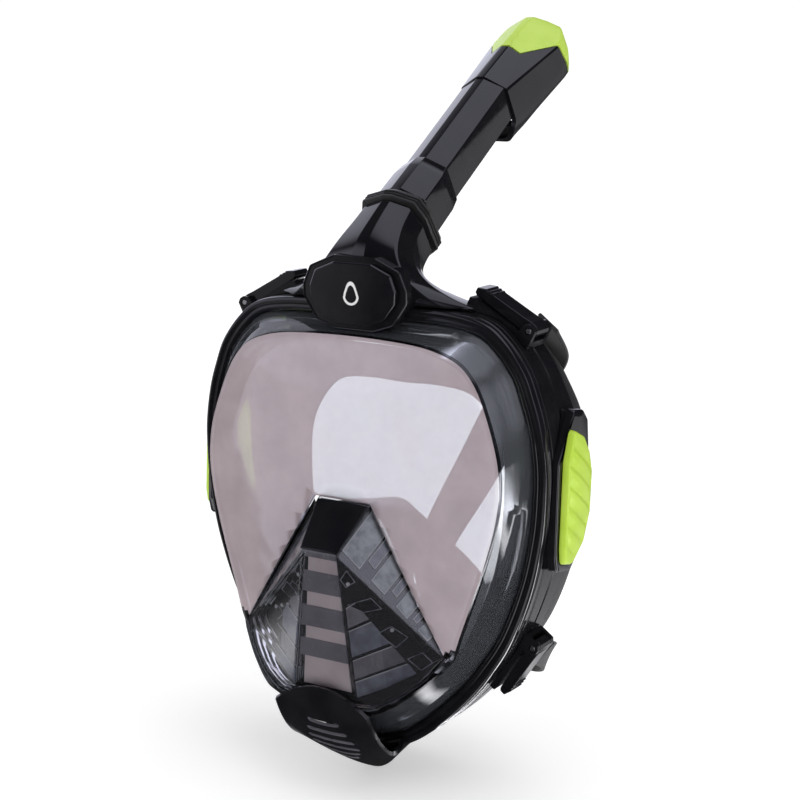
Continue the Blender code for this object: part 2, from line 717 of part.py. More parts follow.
# Sections from the mask to the socket:
# centre (y, z), direction of the section's front (y, z), half width, half depth
DUCT = [
    ((24.0, 76.4), unit(-1, 0), 55.0, 12.4),
    ((22.5, 80.0), unit(-0.985, 0.17), 44.0, 16.5),
    ((21.6, 86.0), unit(-0.94, 0.34), 31.5, 18.4),
    ((22.8, 92.5), unit(-0.80, 0.60), 23.5, 18.4),
    ((29.0, 100.3), TUBE_FRONT, 18.6, 17.2),
    ((39.9, 108.3), TUBE_FRONT, 16.8, 17.4)]
DUCT_WALL = 2.6
# The bore follows the duct and runs out past both of its ends
BORE = ([((24.0, 74.0), DUCT[0][1], 51.0, 9.6)]
        + [(centre, front, half_width - DUCT_WALL, half_depth - DUCT_WALL)
           for centre, front, half_width, half_depth in DUCT[1:-1]]
        + [((41.6, 109.4), TUBE_FRONT, 14.2, 14.8)])
# Right half of the section as shares of half width and half depth, from back to front
DUCT_PROFILE = [(0.6, -1), (1, -0.7), (1, -0.25), (1, 0.22), (0.78, 0.79), (0.13, 1)]

# Outlines as (x, z)
HUB = [(29.5, 84.5), (25.5, 93.5), (12, 99.3), (-12, 99.3), (-25.5, 93.5), (-29.5, 84.5),
       (-29.5, 78.5), (-22, 67.5), (-11, 63.9), (11, 63.9), (22, 67.5), (29.5, 78.5)]
BADGE = [(24.6, 84.0), (21.5, 91.8), (10.5, 96.4), (-10.5, 96.4), (-21.5, 91.8),
         (-24.6, 84.0), (-24.2, 78.6), (-17.5, 69.8), (-8.5, 66.8), (8.5, 66.8),
         (17.5, 69.8), (24.2, 78.6)]
BADGE_CENTRE_Z = 81.6


def duct_section(centre, front, half_width, half_depth):
    profile = [(0, -1)] + DUCT_PROFILE + [(-u, v) for u, v in reversed(DUCT_PROFILE)]
    return [(half_width * u,
             centre[0] + half_depth * v * front[0],
             centre[1] + half_depth * v * front[1]) for u, v in profile]


def build_duct():
    """Duct joined to the hub that carries the badge, then hollowed."""
    duct = loft("forehead_duct", [duct_section(*row) for row in DUCT], "gloss_black")
    hub = loft("join_hub", [
        at_y(HUB, 2.4),
        [(x, 6.0, max(z, 66.4)) for x, z in HUB],
        [(x * 0.97, 12.1, max(z, 69.4)) for x, z in HUB]], "gloss_black")
    cut(duct, as_helper(hub), "UNION")
    bore = loft("cut_duct_bore", [duct_section(*row) for row in BORE], "gloss_black")
    cut(duct, as_helper(bore))


build_duct()
loft("badge_plate", [
    at_y(BADGE, 2.1),
    at_y(BADGE, 0.6),
    [(x * 0.965, -0.2, BADGE_CENTRE_Z + (z - BADGE_CENTRE_Z) * 0.95) for x, z in BADGE],
], "gloss_black")

# ---------------------------------------------------------------- duct divider and exhaust flaps
DIVIDER_Y, DIVIDER_Z = 23.0, 82.0
EXHAUST_IN, EXHAUST_OUT = 9.5, 20.0   # x range of an exhaust port
EXHAUST_X = (EXHAUST_IN + EXHAUST_OUT) / 2
FLAP_Z = DIVIDER_Z + 1.5
FLAP_Y, FLAP_HINGE_Y = 22.8, 31.0

# a middle intake port, and an exhaust port with a flap each side
plate("duct_divider", rectangle(-25.5, 25.5, -9.5, 9.0), 1.6,
      Matrix.Translation(world((0, DIVIDER_Y, DIVIDER_Z))), "smoke",
      holes=[rectangle(-5.5, 5.5, -8, 8),
             rectangle(EXHAUST_IN, EXHAUST_OUT, -7, 7),
             rectangle(-EXHAUST_OUT, -EXHAUST_IN, -7, 7)])
for side, sign in SIDES:
    hinge = joint("exhaust_flap_joint_" + side, (sign * EXHAUST_X, FLAP_HINGE_Y, FLAP_Z))
    box("exhaust_flap_" + side, (sign * EXHAUST_X, FLAP_Y, FLAP_Z), (12.2, 16.0, 0.8),
        "valve_film", parent=hinge)


# ---------------------------------------------------------------- socket lip and snorkel tube
def ridged(half_width, half_depth, rise):
    """An (x, n) section with a flat-topped ridge, rise high, front and back."""
    a, b, side, flat = half_width, half_depth, half_depth - rise, 0.18 * half_width
    return [(a, -side), (a, side), (flat, b), (-flat, b),
            (-a, side), (-a, -side), (-flat, -b), (flat, -b)]


def tube_ring(name, stations, mat, parent, offset=0.0):
    """Closed ring section round the tube's axis, or offset from it towards the front.

    Stations are (s, half width, half depth, ridge height).
    """
    loft(name, [[on_tube(s, x, n + offset) for x, n in ridged(*size)] for s, *size in stations],
         mat, parent, ring=True)


def tube_box(name, s, n, size, mat=None, parent=None):
    """A box in the tube's middle plane, lined up with its axis."""
    return box(name, on_tube(s, 0, n), size, mat, parent, turn=-TUBE_LEAN)


# Outline as (x, n)
LIP = [(18.5, -13.0), (18.5, 6.5), (15.0, 15.5), (2.5, 19.6), (-2.5, 19.6), (-15.0, 15.5),
       (-18.5, 6.5), (-18.5, -13.0), (-11.0, -18.5), (11.0, -18.5)]
# (s, scale of the outline)
LIP_STATIONS = [
    (-6.4, 0.66), (-6.4, 0.97), (-5.4, 1.0), (-4.2, 0.96), (-2.4, 0.96), (-1.6, 0.99),
    (-0.8, 0.99), (0.0, 0.94), (1.4, 0.90), (1.4, 0.66)]

TUBE_SIZE = (TUBE_HALF_WIDTH, TUBE_HALF_DEPTH, TUBE_RIDGE)
TUBE_BORE = (TUBE_HALF_WIDTH - 1.8, TUBE_HALF_DEPTH - 2.0, TUBE_RIDGE - 0.6)
SLEEVE_BORE = (TUBE_HALF_WIDTH + 0.35, TUBE_HALF_DEPTH + 0.4, TUBE_RIDGE)
# (s, half width, half depth, ridge height): the plug in the socket, then the tube
TUBE_STATIONS = [
    (-22, 9.2, 10.2, 3.9), (3.0, 9.4, 10.6, 4.0), (3.0, *TUBE_SIZE), (TUBE_END, *TUBE_SIZE),
    (TUBE_END, *TUBE_BORE), (5.0, *TUBE_BORE), (0.5, 7.6, 8.6, 3.4), (-22, 7.4, 8.4, 3.3)]
SLEEVE_STATIONS = [
    (3.2, *SLEEVE_BORE), (3.2, 14.4, 17.0, 6.7), (23.0, 14.2, 16.7, 6.6),
    (30.5, 12.9, 15.7, 6.0), (30.5, *SLEEVE_BORE)]
SEAL_STATIONS = [
    (-9.6, 9.7, 10.8, 4.0), (-10.6, 10.7, 11.7, 4.3), (-11.6, 10.7, 11.7, 4.3),
    (-12.6, 9.7, 10.8, 4.0)]

# the back of the lip is set a little further along the axis than its front
loft("socket_lip", [[on_tube(s + 1.2 * ease(-n / 12), x * scale, n * scale) for x, n in LIP]
                    for s, scale in LIP_STATIONS], "silicone", ring=True)
tube_joint = joint("tube_release_joint", on_tube(2.0, 0, 0))
tube_ring("snorkel_tube", TUBE_STATIONS, "gloss_black", tube_joint)
tube_ring("tube_sleeve", SLEEVE_STATIONS, "gloss_black", tube_joint)
tube_ring("tube_seal", SEAL_STATIONS, "silicone", tube_joint)
tube_box("tube_divider", 45.5, 2.0, (20.2, 1.2, 79.0), "smoke", tube_joint)

# ---------------------------------------------------------------- dry-top head
HEAD_WALL = 1.9
SEAM_GAP = 1.7
# s at which the shell starts and at which it meets the cap, per corner of the section's right
# half from back to front
HEAD_START = [95.0, 95.0, 99.7, 99.7, 99.7, 99.7]
HEAD_SEAM = [152.0, 152.0, 151.5, 148.0, 127.9, 129.5]
HEAD_SHARES = (0, 0.25, 0.5, 0.75, 1.0)
# Right half of the cap's top edge, from back to front, as (s, x, n)
CAP_TOP = [(158.0, 9.5, -18.5), (159.0, 16.5, -13.5), (160.5, 18.0, -7.0),
           (162.5, 16.0, 4.5), (161.5, 8.4, 9.0), (160.0, 2.2, 12.6)]
COLLAR_STATIONS = [   # s, half width, half depth, ridge height
    (86.0, 9.7, 12.1, 5.4), (102.0, 9.7, 12.1, 5.4),
    (102.0, 8.4, 10.6, 4.8), (86.0, 8.4, 10.6, 4.8)]
HEAD_FLOOR = [        # (x, n)
    (10.2, -12.4), (10.9, -13.2), (10.2, -14.9), (6.8, -19.4), (-6.8, -19.4),
    (-10.2, -14.9), (-10.9, -13.2), (-10.2, -12.4), (-2.6, -16.0), (2.6, -16.0)]
GRILLE_S = 131.0
SLOT_START, SLOT_PITCH, SLOT_COUNT = 117.0, 5.5, 5


def head_section(s):
    """Twelve (x, n) corners round the head: the side faces give way to the front ones."""
    t = max(0.0, min(1.0, (s - 100.0) / 48.0))
    wide, side_front, front = 13.7 + 6.3 * t, 8.6 - 5.8 * t, 15.9 - 2.0 * t
    ridge_x, facet_x = 2.4, 8.4
    facet_n = side_front + (front - side_front) * (wide - facet_x) / (wide - ridge_x)
    back = 21.5 + 1.6 * ease((s - 94) / 22)
    half = [(9.5, -back), (wide - 0.6, -(back - 6.0)), (wide, -11.0),
            (wide, side_front), (facet_x, facet_n), (ridge_x, front)]
    return half + [(-x, n) for x, n in reversed(half)]


def head_at(share):
    """(s, x, n) corners from the shell's start (0) to the seam (1)."""
    out = []
    ends = zip(HEAD_START + HEAD_START[::-1], HEAD_SEAM + HEAD_SEAM[::-1])
    for i, (start, seam) in enumerate(ends):
        s = start + (seam - start) * share
        out.append((s, *head_section(s)[i]))
    return out


def pinch(rows):
    """Moves the section's corners inwards by the wall; n less close to the line n = -4."""
    return [(s, x - math.copysign(HEAD_WALL, x),
             n - math.copysign(HEAD_WALL * min(1.0, abs(n + 4) / 6), n + 4)) for s, x, n in rows]


def head_loops(sections):
    return [[on_tube(*p) for p in rows] for rows in sections]


def build_head_shell():
    outer = [head_at(share) for share in HEAD_SHARES]
    inner = [pinch(rows) for rows in outer]
    head = loft("head_shell", head_loops(outer + inner[::-1]), "gloss_black", tube_joint,
                ring=True)
    cut(head, tube_box("cut_grille", GRILLE_S, -24.0, (15.4, 12.0, 41.0)))


def build_head_cap():
    seam = head_at(1.0)
    top = CAP_TOP + [(s, -x, n) for s, x, n in reversed(CAP_TOP)]
    end = [(s + 2.0, x * 0.86, (n + 4) * 0.86 - 4) for s, x, n in top]
    # bulges outwards: x and n lag behind s on the way from the seam to the top
    t = 0.62
    shoulder = [(s0 + (s1 - s0) * t, x0 + (x1 - x0) * t * 0.6, n0 + (n1 - n0) * t * 0.7)
                for (s0, x0, n0), (s1, x1, n1) in zip(seam, top)]
    rim = [(s + SEAM_GAP, x, n) for s, x, n in seam]
    inner_shoulder = [(s - 0.6, x, n) for s, x, n in pinch(shoulder)]
    inner_top = [(s - 2.2, x * 0.9, n * 0.9) for s, x, n in pinch(top)]
    sections = [inner_top, inner_shoulder, pinch(rim), rim, shoulder, top, end]
    loft("head_cap", head_loops(sections), "lime", tube_joint)


def build_head_grille():
    """Slotted plate in the back of the head."""
    grille = tube_box("head_grille", GRILLE_S, -23.6, (14.6, 1.6, 40.2), "satin_black",
                      tube_joint)
    for i in range(SLOT_COUNT):
        cut(grille, tube_box("cut_vent_slot_%d" % i, SLOT_START + SLOT_PITCH * i, -31.0,
                             (16.0, 6.0, 2.4)))


build_head_shell()
tube_ring("head_collar", COLLAR_STATIONS, "gloss_black", tube_joint)
loft("head_floor", [[on_tube(s, x, n) for x, n in HEAD_FLOOR] for s in (97.0, 98.6)],
     "satin_black", tube_joint)
build_head_cap()
build_head_grille()

# ---------------------------------------------------------------- float and its guide
GUIDE_N = -4.5            # the guide's axis, from the tube's towards its front
GUIDE_RADIUS, GUIDE_BORE_RADIUS = 1.5, 1.9
FLOAT_CHAMFER = 2.5
FLOAT_STATIONS = [        # s, half width, half depth
    (109.0, 8.6, 6.0), (110.5, 9.8, 7.2), (126.5, 9.8, 7.2), (128.0, 8.6, 6.0)]
INLET_STATIONS = [        # s, half width, half depth, ridge height
    (140.0, 9.6, 7.6, 3.4), (142.0, 9.6, 7.6, 3.4),
    (142.0, 5.6, 4.4, 2.0), (140.0, 5.6, 4.4, 2.0)]


def octagon(a, b, chamfer):
    """Half width a, half depth b: eight corners as (x, n), anticlockwise."""
    return [(a, -(b - chamfer)), (a, b - chamfer), (a - chamfer, b), (-(a - chamfer), b),
            (-a, b - chamfer), (-a, -(b - chamfer)), (-(a - chamfer), -b), (a - chamfer, -b)]


def guide_disc(name, s, radius, depth, mat=None, parent=None, segments=12):
    """A cylinder on the guide's axis, up from s."""
    return disc(name, on_tube(s, 0, GUIDE_N), (0, *TUBE_AXIS), radius, depth, mat, parent,
                segments)


def build_float():
    """Float and its seal, both bored for the guide."""
    float_joint = joint("float_joint", on_tube(120.0, 0, GUIDE_N), tube_joint)
    loops = [[on_tube(s, x, n + GUIDE_N) for x, n in octagon(a, b, FLOAT_CHAMFER)]
             for s, a, b in FLOAT_STATIONS]
    body = loft("float", loops, "float_white", float_joint)
    cut(body, guide_disc("cut_float_bore", 104.0, GUIDE_BORE_RADIUS, 34.0))
    seal = guide_disc("float_seal", 128.4, 6.6, 1.4, "silicone", float_joint, segments=24)
    cut(seal, guide_disc("cut_seal_bore", 126.0, GUIDE_BORE_RADIUS, 8.0))


guide_disc("float_guide", 101.0, GUIDE_RADIUS, 44.0, "steel", tube_joint)
tube_ring("inlet_seat", INLET_STATIONS, "smoke", tube_joint, offset=GUIDE_N)
build_float()

# ---------------------------------------------------------------- strap clips
# Right side: pin (x, z), lever tip (x, z), front y, back y, end of the foot along the lever
CLIPS = {
    "upper": ((81.5, 67.5), (54.0, 84.0), 26.0, 41.0, 8.0),
    "lower": ((86.0, -86.0), (70.0, -111.5), 26.0, 40.0, 20.0)}
PIN_RADIUS, LEVER_BORE_RADIUS, BASE_BORE_RADIUS = 1.5, 1.9, 1.8
LEVER_GAP = 1.6           # lever's sides, in from the clip's front and back
CHEEK_HALF = 1.2
# Profiles as (along the lever from its pin, away from the mask)
BARREL = [(-3.4, 0.0), (-3.0, -1.8), (-1.6, -3.0), (0.4, -3.3), (2.4, -2.6), (4.0, -1.4)]
BARREL_TOP = [(6.0, 3.0), (1.5, 3.4), (-1.6, 3.0), (-3.0, 1.8)]
CHEEK = [(-3.6, -5.0), (4.6, -5.0), (3.4, 1.6), (1.2, 3.0), (-1.2, 3.0), (-3.2, 1.6)]


def build_clip(side, sign, level, pin, tip, front, back, foot_end):
    """A latch clip: a base on the band, a pin and a lever."""
    name = "%s_%s" % (level, side)
    pin_x, pin_z = pin
    angle = math.atan2(tip[1] - pin_z, tip[0] - pin_x)
    length = math.hypot(tip[0] - pin_x, tip[1] - pin_z)
    cos, sin = math.cos(angle), math.sin(angle)
    middle = ((pin_x + tip[0]) / 2, (pin_z + tip[1]) / 2)
    # +1 or -1, so that the lever's normal points away from the mask's centre
    out = 1.0 if -sin * middle[0] + cos * (middle[1] - CENTRE[1]) > 0 else -1.0

    def from_lever(profile):
        return [(sign * (pin_x + u * cos - w * sin * out), pin_z + u * sin + w * cos * out)
                for u, w in profile]

    def pin_disc(piece, radius, overhang, mat=None):
        """A cylinder on the pin's axis that stands out by overhang at both ends."""
        return disc(piece + name, (sign * pin_x, front - overhang, pin_z), (0, 1, 0), radius,
                    back - front + 2 * overhang, mat, segments=12)

    pin_disc("clip_pin_", PIN_RADIUS, 1.0, "steel")

    hinge = joint("clip_joint_" + name, (sign * pin_x, (front + back) / 2, pin_z))
    blade = [(length, -1.6), (length + 2.2, -0.6), (length + 2.4, 1.2), (length - 1.5, 2.2)]
    lever = prism("clip_lever_" + name, from_lever(BARREL + blade + BARREL_TOP),
                  front + LEVER_GAP, back - LEVER_GAP, "gloss_black", hinge)
    cut(lever, pin_disc("cut_lever_", LEVER_BORE_RADIUS, 3.0))

    # base: two cheeks that hold the pin, on a foot that stands on the band
    foot = [(-3.6, -4.2), (-3.6, -11.0), (foot_end, -11.0), (foot_end, -4.4),
            (foot_end - 3.0, -3.8), (3.8, -3.8)]
    base = prism("clip_base_" + name, from_lever(foot), front - CHEEK_HALF, back + CHEEK_HALF,
                 "satin_black")
    for tag, y in (("a", front), ("b", back)):
        cheek = prism("join_cheek_%s_%s" % (name, tag), from_lever(CHEEK), y - CHEEK_HALF,
                      y + CHEEK_HALF, "satin_black")
        cut(base, as_helper(cheek), "UNION")
    cut(base, pin_disc("cut_base_pin_", BASE_BORE_RADIUS, 6.0))
    cut(base, ring_prism)


for level, spec in CLIPS.items():
    for side, sign in SIDES:
        build_clip(side, sign, level, *spec)

# ---------------------------------------------------------------- harness
STRAP_THICKNESS = 1.8
# The harness hangs slack: the right upper strap crosses behind the face opening, the left one
# hangs beside the skirt. Stations: x, y, z, then x and z of the width's direction, then width.
HARNESS = {
    "upper_right": [
        (80.5, 46.8, 68.5, 0.7, -0.7, 15.0), (77.5, 60.5, 54.0, 0.75, -0.6, 17.0),
        (65.5, 66.5, 41.0, 0.8, -0.6, 21.0), (50.1, 69.5, 23.9, 0.84, -0.54, 24.0),
        (26.6, 77.0, -14.1, 0.84, -0.54, 24.0), (-1.1, 84.5, -57.8, 0.9, -0.4, 20.0),
        (-5.5, 87.0, -76.0, 1.0, -0.1, 17.0), (-2.0, 88.0, -94.5, 1.0, 0, 15.0)],
    "upper_left": [
        (-80.5, 46.8, 68.5, -0.7, -0.7, 15.0), (-80.5, 61.0, 54.0, -0.85, -0.5, 17.0),
        (-85.0, 69.5, 34.0, -1.0, -0.15, 21.0), (-88.0, 71.5, 10.0, -1.0, 0, 24.0),
        (-88.0, 72.0, -20.0, -1.0, 0, 24.0), (-84.0, 73.5, -48.0, -0.95, -0.3, 22.0),
        (-72.0, 78.0, -72.0, -0.8, -0.6, 19.0), (-57.0, 84.0, -88.0, -0.5, -0.85, 17.0),
        (-42.0, 88.0, -94.5, 0, -1.0, 15.0)],
    "lower_right": [
        (80.5, 47.0, -95.5, -0.55, -0.8, 15.0), (76.5, 60.0, -101.5, -0.4, -0.9, 15.0),
        (63.0, 73.0, -109.0, -0.2, -1.0, 15.0), (44.0, 82.0, -112.5, -0.1, -1.0, 15.0),
        (20.0, 87.0, -113.5, 0, -1.0, 15.0), (-2.0, 88.0, -113.5, 0, -1.0, 15.0)],
    "lower_left": [
        (-80.5, 47.0, -95.5, 0.55, -0.8, 15.0), (-78.0, 60.0, -101.5, 0.4, -0.9, 15.0),
        (-70.0, 72.5, -109.0, 0.2, -1.0, 15.0), (-58.0, 83.0, -113.0, 0.1, -1.0, 15.0),
        (-42.0, 88.0, -113.5, 0, -1.0, 15.0)],
}
PAD_AT = (-22.0, 91.2, -104.0)
PAD_THICKNESS = 3.0
PAD_OUTLINE = [
    (30, 20), (16, 20), (0, 14), (-16, 20), (-30, 20), (-31, 4), (-22, 0), (-31, -4),
    (-30, -20), (-16, -20), (0, -14), (16, -20), (30, -20), (31, -4), (22, 0), (31, 4)]


def build_strap(name, stations):
    """A flat band along a path."""
    rows = spline(stations, 3, False)
    loops = []
    for i, (x, y, z, across_x, across_z, width) in enumerate(rows):
        before = Vector(rows[max(0, i - 1)][:3])
        after = Vector(rows[min(len(rows) - 1, i + 1)][:3])
        along = (after - before).normalized()
        across = Vector((across_x, 0, across_z))
        across = (across - along * across.dot(along)).normalized()
        normal = along.cross(across)
        loops.append([
            tuple(Vector((x, y, z)) + across * (width / 2 * u)
                  + normal * (STRAP_THICKNESS / 2 * v))
            for u, v in ((1, 1), (-1, 1), (-1, -1), (1, -1))])
    loft(name, loops, "webbing")


for key, stations in HARNESS.items():
    build_strap("strap_" + key, stations)
plate("back_pad", PAD_OUTLINE, PAD_THICKNESS, Matrix.Translation(world(PAD_AT)) @ FACING,
      "silicone")
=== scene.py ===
"""Full face snorkel mask: detailed meshes and materials built round its CAD frame.

Lengths are millimetres in the CAD axes; `world` moves them to metres above the floor. x runs
across the mask (the pieces called right are at +x), y from the window (-y) back to the straps,
z up. The tube rises from the forehead and leans back.
"""
import json
import math

import bmesh
import bpy
import numpy as np
from mathutils import Matrix, Vector

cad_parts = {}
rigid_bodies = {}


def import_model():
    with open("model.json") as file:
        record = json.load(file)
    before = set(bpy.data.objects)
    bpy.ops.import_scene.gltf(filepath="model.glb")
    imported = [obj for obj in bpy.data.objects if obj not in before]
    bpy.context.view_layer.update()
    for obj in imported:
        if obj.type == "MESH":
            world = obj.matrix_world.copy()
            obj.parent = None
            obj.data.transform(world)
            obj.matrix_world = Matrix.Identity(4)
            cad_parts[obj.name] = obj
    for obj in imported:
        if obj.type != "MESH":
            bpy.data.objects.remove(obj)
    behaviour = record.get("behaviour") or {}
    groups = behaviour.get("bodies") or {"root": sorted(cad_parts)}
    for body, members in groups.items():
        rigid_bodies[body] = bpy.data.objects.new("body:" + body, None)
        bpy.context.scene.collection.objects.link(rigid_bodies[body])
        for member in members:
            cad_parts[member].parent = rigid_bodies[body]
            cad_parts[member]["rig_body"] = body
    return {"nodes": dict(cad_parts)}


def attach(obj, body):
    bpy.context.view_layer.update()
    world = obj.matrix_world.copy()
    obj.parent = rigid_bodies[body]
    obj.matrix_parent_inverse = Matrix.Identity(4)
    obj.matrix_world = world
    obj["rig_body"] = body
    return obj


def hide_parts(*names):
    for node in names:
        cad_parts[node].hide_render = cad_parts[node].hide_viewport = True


for old in list(bpy.data.objects):
    bpy.data.objects.remove(old, do_unlink=True)
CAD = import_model()["nodes"]
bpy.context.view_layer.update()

# ---------------------------------------------------------------- driving dimensions
SHIFT_Y, SHIFT_Z = -79.9, 162.0  # from the CAD origin to the scene's
RING_STEPS = 288  # points round the mask
RING_FRONT, RING_BACK, RING_WIDTH, BAND_BACK = 12.5, 20.0, 7.0, 44.0
CENTRE = (0.0, -25.0)  # (x, z) the outlines are sampled from
TUBE_Y, TUBE_Z = 46.0, 112.2  # foot of the tube's axis
TUBE_LEAN = math.radians(57.6)
TUBE_HALF_WIDTH, TUBE_HALF_DEPTH, TUBE_RISE, TUBE_END = 12.3, 15.0, 5.9, 99.4
TUBE_ALONG = (math.sin(TUBE_LEAN), math.cos(TUBE_LEAN))  # (y, z)
TUBE_FRONT = (-math.cos(TUBE_LEAN), math.sin(TUBE_LEAN))
RIB_PITCH = 1.4  # ribs along the webbing
SIDES = (("right", 1.0), ("left", -1.0))
# outlines seen from the front, (x, z) from top to bottom of the +x half
RING_HALF = [
    (0, 75.5), (25, 75.8), (48, 75), (65, 71.5), (76.5, 63), (86.3, 50.5), (91.5, 38), (95.5, 25),
    (98.2, 8), (98.4, -8), (96.8, -28), (91.5, -53), (81.5, -80), (70, -99), (57.5, -115),
    (43, -129.5), (28, -141.5), (12, -149), (0, -151)]
WINDOW_HALF = [
    (0, 61.4), (28, 60.6), (45, 58.6), (58, 54.2), (66, 47.3), (72.8, 35.5), (80.5, 13.5),
    (82.6, -3), (81, -19), (76.2, -38), (70.5, -56), (65, -72.5), (60.3, -86.5), (54.3, -94.2),
    (44.4, -103.5), (32.7, -111.7), (17, -117.5), (0, -119.5)]
FACE_HALF = [(0, 31), (20, 31.5), (38, 29), (50, 18), (57, 2), (58, -20), (56, -45), (50, -70),
             (40, -92), (25, -108), (0, -114)]
# a plate's x, y and height become x, z and -y
FACING = Matrix(((1, 0, 0, 0), (0, 0, -1, 0), (0, 1, 0, 0), (0, 0, 0, 1)))

LOOKS = bpy.data.collections.new("looks")
bpy.context.scene.collection.children.link(LOOKS)
TOOLS = bpy.data.collections.new("tools")
bpy.context.scene.collection.children.link(TOOLS)


# ---------------------------------------------------------------- materials
MATERIALS = {}


class Nodes:
    """Short hand for a node tree."""

    def __init__(self, owner):
        owner.use_nodes = True
        self.tree = owner.node_tree
        self.tree.nodes.clear()

    def add(self, kind, inputs=None, **props):
        node = self.tree.nodes.new("ShaderNode" + kind)
        for key, value in props.items():
            setattr(node, key, value)
        self.feed(node, inputs or {})
        return node

    def feed(self, node, inputs):
        """Each input takes a value, or a link from the output given."""
        for key, value in inputs.items():
            if isinstance(value, bpy.types.NodeSocket):
                self.tree.links.new(value, node.inputs[key])
            else:
                node.inputs[key].default_value = value

    def ramp(self, value, low, high, out_low, out_high, kind="SMOOTHSTEP"):
        return self.add("MapRange", {
            "Value": value, "From Min": low, "From Max": high, "To Min": out_low,
            "To Max": out_high}, interpolation_type=kind).outputs[0]

    def math(self, operation, *values):
        return self.add("Math", dict(enumerate(values)), operation=operation).outputs[0]

    def tint(self, factor, first, second):
        inputs = {"Factor": factor, 6: (*first, 1), 7: (*second, 1)}
        return self.add("Mix", inputs, data_type="RGBA").outputs[2]

    def bump(self, height, strength, mm):
        inputs = {"Strength": strength, "Distance": mm / 1000, "Height": height}
        return self.add("Bump", inputs).outputs[0]


class Material(Nodes):
    """A new material, textured by object coordinates in mm."""

    def __init__(self, name):
        MATERIALS[name] = bpy.data.materials.new(name)
        super().__init__(MATERIALS[name])
        self.out = self.add("OutputMaterial")
        place = self.add("TexCoord").outputs["Object"]
        self.mm = self.add("VectorMath", {0: place, "Scale": 1000.0}, operation="SCALE").outputs[0]

    def noise(self, scale, detail=4.0, rough=0.55, stretch=None):
        inputs = {"Scale": scale, "Detail": detail, "Roughness": rough, "Vector": self.mm}
        if stretch:
            inputs["Vector"] = self.add("Mapping", {"Scale": stretch, 0: self.mm}).outputs[0]
        return self.add("TexNoise", inputs).outputs["Fac"]

    def finish(self, shader):
        self.feed(self.out, {0: shader.outputs[0]})


def plastic(name, dark, light, rough, grain=0.6, grain_mm=0.02, wear=0.06, spec=0.5, bump=0.25,
            sheen=0.0, subsurface=0.0, glow=None, mottle=0.06, metallic=0.0):
    """Moulded plastic or rubber: mottling, fine grain, handling marks in the roughness."""
    mat = Material(name)
    blotches = mat.noise(mottle, detail=5.0)
    fine = mat.noise(grain, detail=3.0, rough=0.6)
    marks = mat.noise(0.9, detail=6.0, rough=0.7, stretch=(1.0, 0.25, 0.25))
    shader = mat.add("BsdfPrincipled", {
        "Base Color": mat.tint(mat.ramp(blotches, 0.3, 0.7, 0, 1), dark, light),
        "Roughness": mat.math("ADD", mat.ramp(marks, 0.45, 0.75, rough, rough + wear),
                              mat.ramp(fine, 0.3, 0.7, -0.02, 0.02)),
        "Normal": mat.bump(fine, bump, grain_mm),
        "Metallic": metallic,
        "Specular IOR Level": spec,
        "Coat Roughness": 0.04,
        "Sheen Weight": sheen})
    # glow paints light into the part: it emits light though it is no lamp
    if glow:
        mat.feed(shader, {"Emission Color": (*glow, 1), "Emission Strength": 1.0})
    if subsurface:
        mat.feed(shader, {"Subsurface Weight": subsurface,
                          "Subsurface Radius": (0.004, 0.004, 0.001)})
    mat.finish(shader)


def clear(name, through, haze, haze_colour, rough=0.02, edge=None):
    """Thin clear plastic: see-through with a faint haze, and reflections over it."""
    mat = Material(name)
    fresnel = mat.add("Fresnel", {"IOR": 1.49})
    see = mat.add("BsdfTransparent", {"Color": (*through, 1)})
    if edge:
        facing = mat.add("LayerWeight", {"Blend": 0.35}).outputs["Facing"]
        mat.feed(see, {"Color": mat.tint(facing, through, edge)})
    diffuse = mat.add("BsdfDiffuse", {"Color": (*haze_colour, 1)})
    scuff = mat.noise(0.35, detail=6.0, rough=0.7, stretch=(1, 0.3, 1))
    gloss = mat.add("BsdfGlossy", {
        "Roughness": mat.ramp(scuff, 0.4, 0.8, rough, rough + 0.05),
        "Color": (1, 1, 1, 1),
        "Normal": mat.bump(mat.noise(0.03, detail=2.0), strength=0.15, mm=1.0)})
    cloud = mat.ramp(mat.noise(0.05, detail=3.0), 0.2, 0.8, haze * 0.9, haze * 1.1)
    body = mat.add("MixShader", {0: cloud, 1: see.outputs[0], 2: diffuse.outputs[0]})
    mat.finish(mat.add("MixShader", {
        0: fresnel.outputs[0], 1: body.outputs[0], 2: gloss.outputs[0]}))


def webbing():
    """Elastic webbing: rows of ribs along the strap, by UVs in mm."""
    mat = Material("webbing")
    split = mat.add("SeparateXYZ", {0: mat.add("UVMap").outputs[0]})

    def wave(axis, pitch):
        turns = mat.math("MULTIPLY", split.outputs[axis], 2 * math.pi / pitch)
        return mat.math("SINE", turns)

    ribs, cross = wave("Y", RIB_PITCH), wave("X", 0.9)
    weave = mat.math("ADD", mat.math("MULTIPLY", ribs, 0.7),
                     mat.math("MULTIPLY", mat.math("MULTIPLY", cross, ribs), 0.4))
    fuzz = mat.noise(3.0)
    # the colour is darker in the weave's grooves and lighter on its ribs, painted shade, with
    # random fuzz in the tone
    shade = mat.ramp(mat.math("ADD", weave, fuzz), -0.6, 1.4, 0, 1)
    painted_weave_shade = (shade, (0.004, 0.004, 0.005), (0.03, 0.03, 0.033))
    mat.finish(mat.add("BsdfPrincipled", {
        "Base Color": mat.tint(*painted_weave_shade),
        "Roughness": 0.8,
        "Sheen Weight": 0.3,
        "Normal": mat.bump(mat.math("ADD", weave, mat.math("MULTIPLY", fuzz, 0.5)),
                           strength=0.6, mm=0.12)}))


